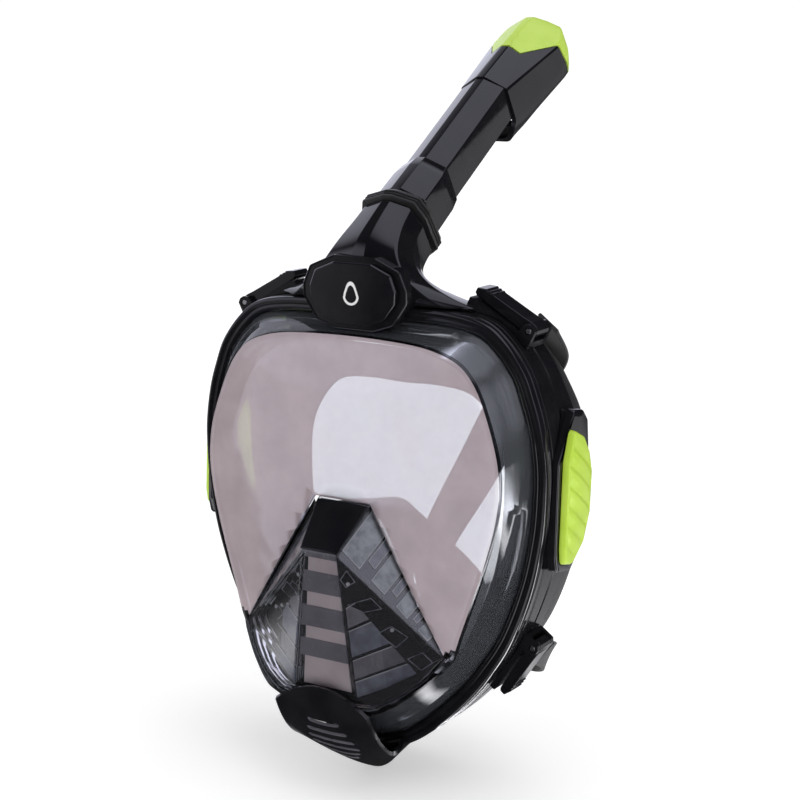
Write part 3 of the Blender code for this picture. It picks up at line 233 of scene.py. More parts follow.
plastic("gloss_black", dark=(0.006, 0.006, 0.008), light=(0.010, 0.010, 0.012), rough=0.06,
        grain=0.25, wear=0.07, bump=0.12)
plastic("satin_black", dark=(0.006, 0.006, 0.008), light=(0.011, 0.011, 0.013), rough=0.17,
        spec=0.34, grain=1.6, grain_mm=0.012, wear=0.08, bump=0.12)
plastic("silicone", dark=(0.010, 0.010, 0.011), light=(0.018, 0.017, 0.019), rough=0.38,
        grain=0.9, grain_mm=0.05, wear=0.1, sheen=0.1)
plastic("lime", dark=(0.56, 0.80, 0.055), light=(0.62, 0.86, 0.085), rough=0.34,
        grain=1.8, grain_mm=0.03, wear=0.1, subsurface=0.15)
# the pads' inner faces glow: painted light shining through the lime pads
plastic("lime_inner", dark=(0.50, 0.66, 0.12), light=(0.62, 0.76, 0.20), rough=0.45,
        grain=1.8, grain_mm=0.03, glow=(0.30, 0.38, 0.06))
plastic("valve_film", dark=(0.60, 0.62, 0.64), light=(0.72, 0.74, 0.76), rough=0.3,
        grain=0.8, subsurface=0.2)
plastic("float_white", dark=(0.70, 0.70, 0.68), light=(0.82, 0.82, 0.80), rough=0.4, grain=1.5)
plastic("steel", dark=(0.45, 0.45, 0.47), light=(0.6, 0.6, 0.62), rough=0.22,
        grain=2.0, wear=0.15, metallic=1.0)
plastic("print_white", dark=(0.80, 0.80, 0.80), light=(0.88, 0.88, 0.88), rough=0.35, grain=2.0)
webbing()
plastic("lime_cap", dark=(0.60, 0.84, 0.10), light=(0.66, 0.90, 0.14), rough=0.36,
        grain=1.8, grain_mm=0.03, wear=0.1, subsurface=0.1)
plastic("slat_grey", dark=(0.17, 0.165, 0.185), light=(0.24, 0.23, 0.26), rough=0.22,
        grain=1.2, wear=0.12)
plastic("slat_blue", dark=(0.15, 0.16, 0.20), light=(0.24, 0.25, 0.31), rough=0.16,
        grain=0.8, wear=0.12, mottle=0.16)
plastic("slat_silver", dark=(0.16, 0.175, 0.20), light=(0.42, 0.44, 0.48), rough=0.16,
        grain=0.8, wear=0.12, mottle=0.16)
plastic("cell_pale", dark=(0.56, 0.48, 0.50), light=(0.68, 0.60, 0.61), rough=0.4, grain=1.0)
plastic("edge_light", dark=(0.50, 0.50, 0.53), light=(0.62, 0.62, 0.65), rough=0.2, grain=1.0)
clear("window", through=(0.88, 0.95, 1.0), haze=0.40, haze_colour=(1.0, 0.83, 0.89), rough=0.03)
clear("visor_wall", through=(0.90, 0.91, 0.93), haze=0.06, haze_colour=(0.66, 0.70, 0.80),
      rough=0.015, edge=(0.25, 0.26, 0.30))
clear("window_edge", through=(0.20, 0.20, 0.22), haze=0.02, haze_colour=(0.1, 0.1, 0.12))
clear("nose_clear", through=(0.94, 0.94, 0.96), haze=0.02, haze_colour=(0.5, 0.5, 0.55),
      rough=0.015, edge=(0.55, 0.55, 0.60))
clear("smoke", through=(0.35, 0.35, 0.38), haze=0.35, haze_colour=(0.30, 0.29, 0.33), rough=0.12)
clear("frost", through=(0.55, 0.55, 0.60), haze=0.50, haze_colour=(0.45, 0.45, 0.52), rough=0.25)


# ---------------------------------------------------------------- points and outlines
def world(p):
    return Vector((p[0], p[1] + SHIFT_Y, p[2] + SHIFT_Z)) / 1000.0


def on_tube(along, x, front):
    """A point by its place along the tube, across it, and forward of its axis."""
    return (x, TUBE_Y + along * TUBE_ALONG[0] + front * TUBE_FRONT[0],
            TUBE_Z + along * TUBE_ALONG[1] + front * TUBE_FRONT[1])


def smooth(t):
    t = max(0.0, min(1.0, t))
    return t * t * (3 - 2 * t)


def lerp(start, end, t):
    return start + (end - start) * t


def spline(points, per_span, closed=False):
    """Catmull-Rom through points of any dimension."""
    out, count = [], len(points)
    for i in range(count if closed else count - 1):
        near = [i + k for k in (-1, 0, 1, 2)]
        if closed:
            near = [points[k % count] for k in near]
        else:
            near = [points[max(0, min(count - 1, k))] for k in near]
        for j in range(per_span):
            t = j / per_span
            out.append(tuple(
                0.5 * (2 * b + (c - a) * t + (2 * a - 5 * b + 4 * c - d) * t * t
                       + (3 * b - a - 3 * c + d) * t ** 3)
                for a, b, c, d in zip(*near)))
    if not closed:
        out.append(tuple(points[-1]))
    return out


def spline_loops(loops, per_span):
    """Catmull-Rom through the loops, point by point."""
    return [list(row) for row in zip(*(spline(column, per_span) for column in zip(*loops)))]


def whole(half):
    return [(-x, z) for x, z in half] + [p for p in reversed(half) if abs(p[0]) > 1e-9]


def sample(outline, angles, centre):
    """The closed star-shaped outline's points in these directions from centre."""
    rows = sorted((math.atan2(z - centre[1], x - centre[0]), x - centre[0], z - centre[1])
                  for x, z in outline)
    around, px, pz = (np.array([row[i] for row in rows]) for i in range(3))
    out = []
    for angle in angles:
        k = int(np.searchsorted(around, angle))
        i, j = (k - 1) % len(rows), k % len(rows)
        dx, dz = math.cos(angle), math.sin(angle)
        cross = dx * (pz[j] - pz[i]) - dz * (px[j] - px[i])
        if abs(cross) > 1e-12:
            r = (px[i] * (pz[j] - pz[i]) - pz[i] * (px[j] - px[i])) / cross
        else:
            r = math.hypot(px[i], pz[i])
        out.append((centre[0] + r * dx, centre[1] + r * dz))
    return out


def even_angles(outline, count, centre):
    """Directions to points evenly spaced along a symmetric outline."""
    pts = np.array(spline(outline, 24, True))
    step = np.hypot(*(np.roll(pts, -1, 0) - pts).T)
    run = np.concatenate([[0], np.cumsum(step)])
    closed = np.vstack([pts, pts[:1]])
    stops = np.linspace(0, run[-1], count, endpoint=False)[: count // 2 + 1]
    half = [math.atan2(np.interp(v, run, closed[:, 1]) - centre[1],
                       np.interp(v, run, closed[:, 0]) - centre[0]) for v in stops]
    return half + [math.atan2(math.sin(v), -math.cos(v)) for v in reversed(half[1:-1])]


ANGLES = even_angles(whole(RING_HALF), RING_STEPS, CENTRE)
RING, WINDOW, FACE = (sample(spline(whole(half), 16, True), ANGLES, CENTRE)
                      for half in (RING_HALF, WINDOW_HALF, FACE_HALF))


def inset(points, by):
    out, count = [], len(points)
    for i, p in enumerate(points):
        before, after = points[i - 1], points[(i + 1) % count]
        tx, tz = after[0] - before[0], after[1] - before[1]
        length = math.hypot(tx, tz)
        out.append((p[0] - tz / length * by, p[1] + tx / length * by))
    return out


def shrink(outline, by):
    """Inset of a polygon with sharp corners, mitred."""
    out, n = [], len(outline)
    following = outline[1:] + outline[:1]
    area = sum(p[0] * q[1] - q[0] * p[1] for p, q in zip(outline, following))
    sign = 1 if area > 0 else -1
    for i in range(n):
        p, q, r = outline[i - 1], outline[i], following[i]
        d1 = Vector((q[0] - p[0], q[1] - p[1])).normalized()
        d2 = Vector((r[0] - q[0], r[1] - q[1])).normalized()
        n1, n2 = Vector((-d1.y, d1.x)) * sign, Vector((-d2.y, d2.x)) * sign
        mitre = (n1 + n2).normalized()
        k = by / max(0.35, mitre.dot(n1))
        out.append((q[0] + mitre.x * k, q[1] + mitre.y * k))
    return out


def bend(corner, to_before, to_after, reach, steps):
    """Points of a corner's curve that leaves both edges at this reach."""
    out = []
    for k in range(steps + 1):
        t = k / steps
        start = [c + u * reach * (1 - t) for c, u in zip(corner, to_before)]
        end = [c + u * reach * t for c, u in zip(corner, to_after)]
        out.append(tuple(p + (q - p) * t for p, q in zip(start, end)))
    return out


def rounded(points, radii, steps=5):
    """A closed 2D polygon with each corner rounded; radii one number or one per corner."""
    out, n = [], len(points)
    for i, p in enumerate(points):
        r = radii[i] if isinstance(radii, list) else radii
        a, b = points[i - 1], points[(i + 1) % n]
        da, db = math.dist(p, a), math.dist(p, b)
        ua = ((a[0] - p[0]) / da, (a[1] - p[1]) / da)
        ub = ((b[0] - p[0]) / db, (b[1] - p[1]) / db)
        half = math.acos(max(-1, min(1, ua[0] * ub[0] + ua[1] * ub[1]))) / 2
        if half > math.radians(89):
            out.extend([p] * (steps + 1))
        else:
            out += bend(p, ua, ub, min(r / math.tan(half), da * 0.45, db * 0.45), steps)
    return out


def blend(first, second, t):
    """Points a share t of the way from one loop to another."""
    return [tuple(u + (v - u) * t for u, v in zip(p, q)) for p, q in zip(first, second)]


def loop(points, y):
    return [(x, y(x, z) if callable(y) else y, z) for x, z in points]


def ring_loop(by, y):
    return loop(inset(RING, by), y)


# ---------------------------------------------------------------- meshes
def skin(loops, ring=False, first=False, last=False):
    """Points and faces over a run of loops; ring joins the last to the first."""
    n, count = len(loops[0]), len(loops)
    faces = []
    for i in range(count if ring else count - 1):
        k = (i + 1) % count
        for j in range(n):
            m = (j + 1) % n
            faces.append((i * n + j, i * n + m, k * n + m, k * n + j))
    if first:
        faces.append(tuple(reversed(range(n))))
    if last:
        faces.append(tuple(range((count - 1) * n, count * n)))
    return [p for row in loops for p in row], faces


def tidy(mesh, clean=None):
    """Runs clean on the mesh if given, then turns its faces outward."""
    bm = bmesh.new()
    bm.from_mesh(mesh)
    if clean:
        clean(bm)
    bmesh.ops.recalc_face_normals(bm, faces=bm.faces)
    if bm.calc_volume(signed=True) < 0:
        bmesh.ops.reverse_faces(bm, faces=bm.faces)
    bm.to_mesh(mesh)
    bm.free()


def raw(name, points, faces, materials="gloss_black", closed=True, index=None, to_world=True):
    mesh = bpy.data.meshes.new(name)
    mesh.from_pydata([world(p) if to_world else Vector(p) for p in points], [], faces)
    for key in (materials,) if isinstance(materials, str) else materials:
        mesh.materials.append(MATERIALS[key])
    if index is not None:
        mesh.polygons.foreach_set("material_index", index)
    if closed:
        tidy(mesh)
    obj = bpy.data.objects.new(name, mesh)
    LOOKS.objects.link(obj)
    return obj


def dress(obj, node=None, bevel=0.0, segments=3, angle=30, smooth_angle=30):
    """Bevel, shading, and the CAD node that this piece stands for."""
    if bevel:
        mod = obj.modifiers.new("edges", "BEVEL")
        mod.width = bevel / 1000
        mod.segments = segments
        mod.limit_method = "ANGLE"
        mod.angle_limit = math.radians(angle)
    obj.data.shade_smooth()
    obj.data.set_sharp_from_angle(angle=math.radians(smooth_angle))
    if bevel:
        mod = obj.modifiers.new("normals", "WEIGHTED_NORMAL")
        mod.keep_sharp = True
        mod.weight = 60
    body = "mask"
    if node:
        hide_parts(node)
        body = CAD[node]["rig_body"]
    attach(obj, body)


def loft(name, loops, material="gloss_black", ring=False):
    """A closed piece over loops: a ring of them, or capped at both ends."""
    points, faces = skin(loops, ring, not ring, not ring)
    return raw(name, points, faces, material)


def tool(obj):
    """Hides a piece that only shapes others."""
    LOOKS.objects.unlink(obj)
    TOOLS.objects.link(obj)
    obj.hide_render = True
    obj.hide_viewport = True
    obj.display_type = "WIRE"
    return obj


def cut(obj, other, how="DIFFERENCE", solver="EXACT"):
    mod = obj.modifiers.new(other.name, "BOOLEAN")
    mod.operation, mod.object, mod.solver = how, other, solver
    return mod


def thicken(obj, mm):
    mod = obj.modifiers.new("wall", "SOLIDIFY")
    mod.thickness, mod.offset = mm / 1000, -1.0


def frame_matrix(at, axis):
    z = Vector(axis).normalized()
    x = Vector((0, 0, 1)).cross(z)
    x.normalize()
    m = Matrix((x, z.cross(x), z)).transposed().to_4x4()
    m.translation = world(at)
    return m


def turned(name, at, axis, profile, material="gloss_black", segments=48):
    """A turned piece from (radius, height): solid if it ends near the axis, else a ring."""
    m = frame_matrix(at, axis)
    turns = [2 * math.pi * k / segments for k in range(segments)]
    loops = [[tuple(m @ Vector((r * math.cos(t) / 1000, r * math.sin(t) / 1000, h / 1000)))
              for t in turns] for r, h in profile]
    solid = profile[0][0] < 0.06 and profile[-1][0] < 0.06
    points, faces = skin(loops, ring=not solid, first=solid, last=solid)
    return raw(name, points, faces, material, to_world=False)


def rod(name, at, axis, radius, low, high, segments):
    profile = [(0.01, low), (radius, low), (radius, high), (0.01, high)]
    return turned(name, at, axis, profile, segments=segments)


def slab(name, outline, low, high, matrix, material="gloss_black", holes=()):
    """A flat plate from 2D outlines between two heights."""
    data = bpy.data.curves.new(name, "CURVE")
    data.dimensions = "2D"
    data.fill_mode = "BOTH"
    data.extrude = (high - low) / 2000
    for points in [outline, *holes]:
        line = data.splines.new("POLY")
        line.points.add(len(points) - 1)
        for knot, p in zip(line.points, points):
            knot.co = (p[0] / 1000, p[1] / 1000, 0, 1)
        line.use_cyclic_u = True
    curve = bpy.data.objects.new(name + "_outline", data)
    LOOKS.objects.link(curve)
    curve.matrix_world = matrix @ Matrix.Translation((0, 0, (low + high) / 2000))
    bpy.context.view_layer.update()
    graph = bpy.context.evaluated_depsgraph_get()
    mesh = bpy.data.meshes.new_from_object(curve.evaluated_get(graph))
    mesh.transform(curve.matrix_world)
    bpy.data.objects.remove(curve)
    mesh.materials.clear()
    mesh.materials.append(MATERIALS[material])

    def clean(bm):
        bmesh.ops.remove_doubles(bm, verts=bm.verts, dist=1e-6)
        bmesh.ops.dissolve_limit(bm, angle_limit=math.radians(1), verts=bm.verts, edges=bm.edges)

    tidy(mesh, clean)
    obj = bpy.data.objects.new(name, mesh)
    LOOKS.objects.link(obj)
    return obj


BOX_FACES = [(0, 1, 3, 2), (4, 6, 7, 5), (0, 4, 5, 1), (2, 3, 7, 6), (0, 2, 6, 4), (1, 5, 7, 3)]


def block(name, at, size, rotation, material="gloss_black"):
    x, y, z = (v / 2000 for v in size)
    m = Matrix.Translation(world(at)) @ rotation.to_4x4()
    corners = [m @ Vector((sx * x, sy * y, sz * z))
               for sx in (-1, 1) for sy in (-1, 1) for sz in (-1, 1)]
    return raw(name, corners, BOX_FACES, material, to_world=False)


def weld(obj):
    def clean(bm):
        bmesh.ops.remove_doubles(bm, verts=bm.verts, dist=1e-6)
        bmesh.ops.dissolve_degenerate(bm, edges=bm.edges, dist=1e-6)

    tidy(obj.data, clean)
    return obj


def join(name, objs):
    """One mesh from several closed bodies."""
    bm = bmesh.new()
    mats = []
    for obj in objs:
        material = obj.data.materials[0]
        if material not in mats:
            mats.append(material)
        for poly in obj.data.polygons:
            poly.material_index = mats.index(material)
        bm.from_mesh(obj.data)
    mesh = bpy.data.meshes.new(name)
    for material in mats:
        mesh.materials.append(material)
    bm.to_mesh(mesh)
    bm.free()
    for obj in objs:
        bpy.data.objects.remove(obj)
    obj = bpy.data.objects.new(name, mesh)
    LOOKS.objects.link(obj)
    return obj


# ---------------------------------------------------------------- visor
def window_y(back):
    """Depth of the window's front, moved back."""
    return lambda x, z: (-4.7 + 0.044 * z - 0.68 * min(24.0, max(0.0, -88.0 - z))) + back


def dome(share, back):
    """A loop of the bulging window, shrunk to a share of its size."""
    points = [(CENTRE[0] + (x - CENTRE[0]) * share, CENTRE[1] + (z - CENTRE[1]) * share)
              for x, z in inset(WINDOW, 4.0)]
    front = window_y(0)
    return loop(points, lambda x, z: front(x, z) - 0.25 - 3.6 * (1 - share ** 2) + back)


DOME = (1.0, 0.9, 0.8, 0.7, 0.6, 0.5, 0.4, 0.3, 0.2, 0.1)
VISOR_IN = RING_WIDTH + 0.6
wall_back = ring_loop(VISOR_IN, 13.2)
wall_front = loop(inset(WINDOW, -0.8), window_y(2.4))
wall = [blend(wall_back, wall_front, t) for t in (0, 0.10, 0.30, 0.34, 0.60, 0.64, 0.97, 1.0)]
for i, push in ((3, 0.45), (4, 0.45), (5, 0.15)):  # a shallow step
    wall[i] = [(x, y + push, z) for x, y, z in wall[i]]
rim = loop(WINDOW, window_y(0))
outside = [
    ring_loop(2.2, 20.6), ring_loop(VISOR_IN, 20.6), *wall,
    blend(rim, wall_front, 0.70), blend(rim, wall_front, 0.35),
    loop(inset(WINDOW, 0.9), window_y(0.15)), loop(inset(WINDOW, 1.9), window_y(0)),
    *(dome(share, 0) for share in DOME)]
LINING = RING_WIDTH + 2.8
lining_back = ring_loop(LINING, 15.4)
lining_front = loop(inset(WINDOW, 1.8), window_y(4.2))
inside = [
    ring_loop(2.2, 22.8), ring_loop(LINING, 22.8), lining_back,
    blend(lining_back, lining_front, 0.35), blend(lining_back, lining_front, 0.40),
    lining_front, loop(inset(WINDOW, 2.6), window_y(2.9)), *(dome(share, 2.2) for share in DOME)]
points, faces = skin(inside[::-1] + outside, first=True, last=True)
# material of each band of faces: inner window, walls, window edge, outer window; then the caps
bands = [1] * 10 + [0] * 15 + [2] * 3 + [1] * 12
index = [band for band in bands for _ in range(RING_STEPS)] + [1, 1]
visor = raw("visor_shell", points, faces, ("visor_wall", "window", "window_edge"), index=index)
NOSE_HOLE = [(0, -16.5), (15.8, -16.5), (57.6, -86.4), (49.2, -97.4), (39.2, -105.8),
             (27, -112.6), (12, -116.4), (0, -117)]  # (x, z), +x half
hole = NOSE_HOLE + [(-x, z) for x, z in reversed(NOSE_HOLE) if x > 0]
nose_tool = tool(slab("tool_nose", hole, -25, 25,
                      Matrix.Translation(world((0, -14.0, 0))) @ FACING))
for poly in visor.data.polygons:  # the chin end of the window is darker
    if poly.material_index == 1 and poly.center.z * 1000 - SHIFT_Z < -82:
        poly.material_index = 2
cut(visor, nose_tool)
dress(visor, "visor", smooth_angle=32)

# ---------------------------------------------------------------- clamp ring and side band
RING_PROFILE = [  # (inset, y)
    (1.6, RING_FRONT - 0.2), (0.5, RING_FRONT + 0.5), (0.0, RING_FRONT + 2),
    (0.0, RING_FRONT + 3.4), (0.5, RING_FRONT + 3.7), (0.5, RING_FRONT + 4.3),
    (0.0, RING_FRONT + 4.6), (0.0, RING_BACK), (RING_WIDTH, RING_BACK),
    (RING_WIDTH, RING_FRONT + 1.4), (RING_WIDTH - 0.7, RING_FRONT + 0.5),
    (RING_WIDTH - 1.5, RING_FRONT), (RING_WIDTH - 2.4, RING_FRONT),
    (RING_WIDTH - 2.7, RING_FRONT + 0.45), (RING_WIDTH - 3.4, RING_FRONT + 0.45),
    (RING_WIDTH - 3.7, RING_FRONT)]
dress(loft("frame_ring", [ring_loop(by, y) for by, y in RING_PROFILE], ring=True),
      "clamp_ring", bevel=0.25, segments=2, angle=35)


def band_back(x, z):
    side = smooth((abs(x) - 80) / 12)
    return (BAND_BACK + 6.0 * side * smooth(1.4 - abs(z + 6) / 45)
            - 1.0 * smooth((z - 60) / 10))


def band_step(share):
    return lambda x, z: 20.4 + share * (band_back(x, z) - 20.4)


BAND_PROFILE = [  # (inset, y)
    (0.35, 20.4), (0.05, 21.0), (0.0, 24.0), (0.0, band_step(0.42)), (0.45, band_step(0.45)),
    (0.45, band_step(0.50)), (0.0, band_step(0.53)), (0.0, band_step(0.93)), (0.5, band_back),
    (2.4, band_back), (2.2, 27.2), (8.4, 27.2), (8.4, 25.2), (1.8, 25.2), (1.7, 20.4)]
dress(loft("side_frame", [ring_loop(by, y) for by, y in BAND_PROFILE], "satin_black", ring=True),
      "side_band", bevel=0.3, segments=2, angle=35)


# ---------------------------------------------------------------- skirt
def skirt_back(offset):
    return lambda x, z: (55.0 + 9.0 * smooth((abs(x) - 40) / 45) * smooth((70 - z) / 60)
                         - 4.0 * smooth((z - 20) / 50)) + offset


lip = inset(RING, 14.0)
skirt_loops = [
    ring_loop(3.2, 23.2), ring_loop(10.6, 23.2), ring_loop(10.6, 29.0), ring_loop(6.2, 35.0),
    ring_loop(4.4, skirt_back(-8)), ring_loop(6.2, skirt_back(-1)),
    loop(lip, skirt_back(1)), loop(blend(lip, FACE, 0.55), skirt_back(-3)), loop(FACE, 47.5)]
points, faces = skin(spline_loops(skirt_loops, 4))
skirt = raw("face_seal_skirt", points, faces, "silicone", closed=False)
thicken(skirt, 1.5)
dress(skirt, "face_skirt", smooth_angle=60)

# ---------------------------------------------------------------- oral cup and its valves
CUP_CENTRE = (0.0, -75.0)
CUP_STEPS = 128
# (x, z), +x half, from front to rear
CUP_FRONT = [(0, -22), (10, -22.5), (17, -29), (30, -53), (43, -77), (50, -88), (43, -100),
             (30, -110), (15, -116.5), (0, -118.5)]
CUP_MID = [(0, -25), (12, -27), (19, -36), (29, -56), (38, -77), (41, -89), (35, -101),
           (22, -110), (10, -113.5), (0, -114.5)]
CUP_REAR = [(0, -28.5), (10, -33.5), (24, -43.5), (40, -55.5), (47, -63.5), (47, -76),
            (42, -92), (30, -102), (14, -106.5), (0, -107.5)]
turns = [math.pi / 2 + 2 * math.pi * i / CUP_STEPS for i in range(CUP_STEPS)]
cup_angles = [math.atan2(math.sin(t), math.cos(t)) for t in turns]
cup = [loop(sample(spline(whole(half), 10, True), cup_angles, CUP_CENTRE), y)
       for half, y in ((CUP_FRONT, 1.0), (CUP_MID, 22.0), (CUP_REAR, 42.0))]
cup.append([(x * 0.90, 46.0, CUP_CENTRE[1] + (z - CUP_CENTRE[1]) * 0.90) for x, _, z in cup[2]])
points, faces = skin(spline_loops(cup, 8))
oral_cup = raw("oral_nasal_cup", points, faces, "silicone", closed=False)
thicken(oral_cup, 1.5)
SEAT_RADIUS, HUB_RADIUS = 11.0, 1.9


def valve_seat(name, at, axis, low, high):
    """Outer ring, four spokes and a middle boss, one piece."""
    r, hub = SEAT_RADIUS, HUB_RADIUS
    ring = turned("seat_ring", at, axis, [
        (r - 0.3, low), (r, low + 0.3), (r, high - 0.3), (r - 0.3, high), (r - 3.0, high),
        (r - 3.4, high - 0.4), (r - 3.4, low + 0.4), (r - 3.0, low)], "satin_black")
    boss = turned("seat_boss", at, axis, [
        (0.4, low), (hub, low), (hub, high + 0.4), (hub - 0.5, high + 0.8), (0.4, high + 0.8)],
        "satin_black")
    m = frame_matrix(at, axis)
    reach = r - 3.6 - hub * 0.7 + 0.6
    arms = []
    for quarter in range(4):
        t = math.radians(45 + 90 * quarter)
        cos, sin = math.cos(t), math.sin(t)
        corners = [m @ Vector(((hub * 0.7 + reach * k) * cos / 1000 - s * 0.6 * sin / 1000,
                               (hub * 0.7 + reach * k) * sin / 1000 + s * 0.6 * cos / 1000,
                               h / 1000))
                   for h in (low + 0.3, high - 0.3) for k, s in ((0, -1), (0, 1), (1, 1), (1, -1))]
        faces = [(0, 1, 2, 3), (7, 6, 5, 4), (0, 4, 5, 1), (1, 5, 6, 2), (2, 6, 7, 3), (3, 7, 4, 0)]
        arms.append(raw("arm", corners, faces, "satin_black", to_world=False))
    return join(name, [ring, boss] + arms)


def flap_disc(name, at, axis, r, low, high):
    """A thin valve flap with a rim and a raised ring near its middle."""
    return turned(name, at, axis, [
        (0.3, low), (r - 0.3, low), (r, low + 0.25), (r - 0.2, high), (r - 1.4, high),
        (r - 1.7, high - 0.25), (3.2, high - 0.25), (2.8, high + 0.1), (2.0, high + 0.1),
        (1.8, high - 0.1), (0.3, high - 0.1)], "valve_film")


VALVE_AXIS = Vector((0.86, 0.14, 0.49)).normalized()
for side, sign in SIDES:
    at = Vector((sign * 33.3, 12.0, -60.5))
    axis = Vector((sign * VALVE_AXIS.x, VALVE_AXIS.y, VALVE_AXIS.z))
    cut(oral_cup, tool(rod("tool_inhale_" + side, at, axis, 9.0, -8, 8, segments=40)))
    dress(valve_seat("inhale_valve_seat_" + side, at, axis, 2.4, 5.0),
          "inhale_seat_" + side, smooth_angle=40)
    dress(flap_disc("inhale_valve_flap_" + side, at, axis, 7.9, 1.2, 2.0),
          "inhale_flap_" + side, smooth_angle=40)
dress(oral_cup, "oral_cup", smooth_angle=60)

# ---------------------------------------------------------------- nose pocket
# corners on the +x side: top, both ends of the middle strip, then the curved lower edge
TOP, STRIP_TOP, STRIP_FOOT = (15.3, -5.6, -17.1), (9.8, -28.6, -38.2), (18.0, -25.6, -108.5)
NOSE_ARC = [(56.8, -8.4, -86.0), (53.5, -11.6, -90.5), (48.5, -15.2, -96.8), (43.8, -18.2, -101.2),
            (38.6, -20.8, -105.2), (32.7, -22.9, -108.9), (26.6, -24.4, -112.0)]


def mirrored(p, sign):
    return Vector((p[0] * sign, p[1], p[2]))


points = [(0.0, -25.9, -104.0), (0.0, -24.6, -116.2)]
faces = []
for sign in (1, -1):
    top = len(points)
    points += [tuple(mirrored(p, sign)) for p in (TOP, STRIP_TOP, STRIP_FOOT)]
    points += [(x * sign, y, z) for x, y, z in NOSE_ARC]
    strip_top, foot, arc = top + 1, top + 2, top + 3
    faces += [(top, strip_top, arc), (strip_top, foot, arc + 1, arc)]
    faces += [(foot, arc + i + 1, arc + i) for i in range(1, len(NOSE_ARC) - 1)]
    faces.append((foot, 0, 1, arc + len(NOSE_ARC) - 1))
faces += [(2, 12, 13, 3), (3, 13, 14, 0, 4)]
nose = raw("nose_pocket", points, faces, "nose_clear", closed=False)
bm = bmesh.new()
bm.from_mesh(nose.data)
bmesh.ops.triangulate(bm, faces=[f for f in bm.faces if len(f.verts) > 4])
bmesh.ops.recalc_face_normals(bm, faces=bm.faces)
if sum(f.normal.y * f.calc_area() for f in bm.faces) > 0:
    bmesh.ops.reverse_faces(bm, faces=bm.faces)
bm.to_mesh(nose.data)
bm.free()
thicken(nose, 1.7)
dress(nose, "nose_cover", bevel=0.7, segments=4, angle=14, smooth_angle=25)

# ---------------------------------------------------------------- nose guard
guard = []
PANEL_LIFT = -1.7  # panels lie behind the pocket's surface


def plate(corners, lift, thick, material):
    """A thin plate over the corners of a flat facet, lifted off it to the front."""
    corners = [Vector(p) for p in corners]
    m = len(corners)
    normal = Vector((0, 0, 0))
    for i in range(m):
        normal += corners[i].cross(corners[(i + 1) % m])
    normal.normalize()
    if normal.y > 0:
        normal = -normal
    points = [tuple(p + normal * h) for h in (lift, lift + thick) for p in corners]
    faces = [tuple(range(m)), tuple(reversed(range(m, 2 * m)))]
    faces += [(i, (i + 1) % m, m + (i + 1) % m, m + i) for i in range(m)]
    guard.append(raw("plate", points, faces, material))


def framed(corners, material, line):
    """A panel with a thin line round it."""
    plate(corners, PANEL_LIFT, 0.5, material)
    for q in range(4):
        p0, p1, p2, p3 = (corners[(q + i) % 4] for i in range(4))
        w0 = min(0.4, 0.38 / max(0.5, (p3 - p0).length))
        w1 = min(0.4, 0.38 / max(0.5, (p2 - p1).length))
        plate([p0, p1, lerp(p1, p2, w1), lerp(p0, p3, w0)], PANEL_LIFT + 0.5, 0.12, line)


SLATS = (  # (start, end) along the strip's edge
    (0.355, 0.495, "slat_grey"), (0.515, 0.700, "slat_blue"),
    (0.722, 0.855, "slat_grey"), (0.873, 0.985, "slat_blue"))
TABS = (  # corners, shares of the lower facet's two edges
    ((0.17, 0.0), (0.046, 0.08), (0.07, 0.163), (0.19, 0.05)),
    ((0.3185, 0.036), (0.0785, 0.306), (0.084, 0.407), (0.252, 0.206)),
    ((0.311, 0.327), (0.149, 0.483), (0.11, 0.649), (0.29, 0.50)),
    ((0.291, 0.606), (0.1225, 0.778), (0.124, 0.879), (0.28, 0.74)))
PANES = (  # (start, end) along the upper edge, share of the height
    (0.03, 0.20, 0.86, "slat_silver"), (0.215, 0.285, 0.62, "slat_blue"),
    (0.31, 0.44, 0.84, "slat_silver"), (0.465, 0.515, 0.60, "slat_blue"),
    (0.55, 0.66, 0.82, "slat_silver"), (0.69, 0.73, 0.6, "slat_blue"),
    (0.765, 0.86, 0.8, "slat_silver"))
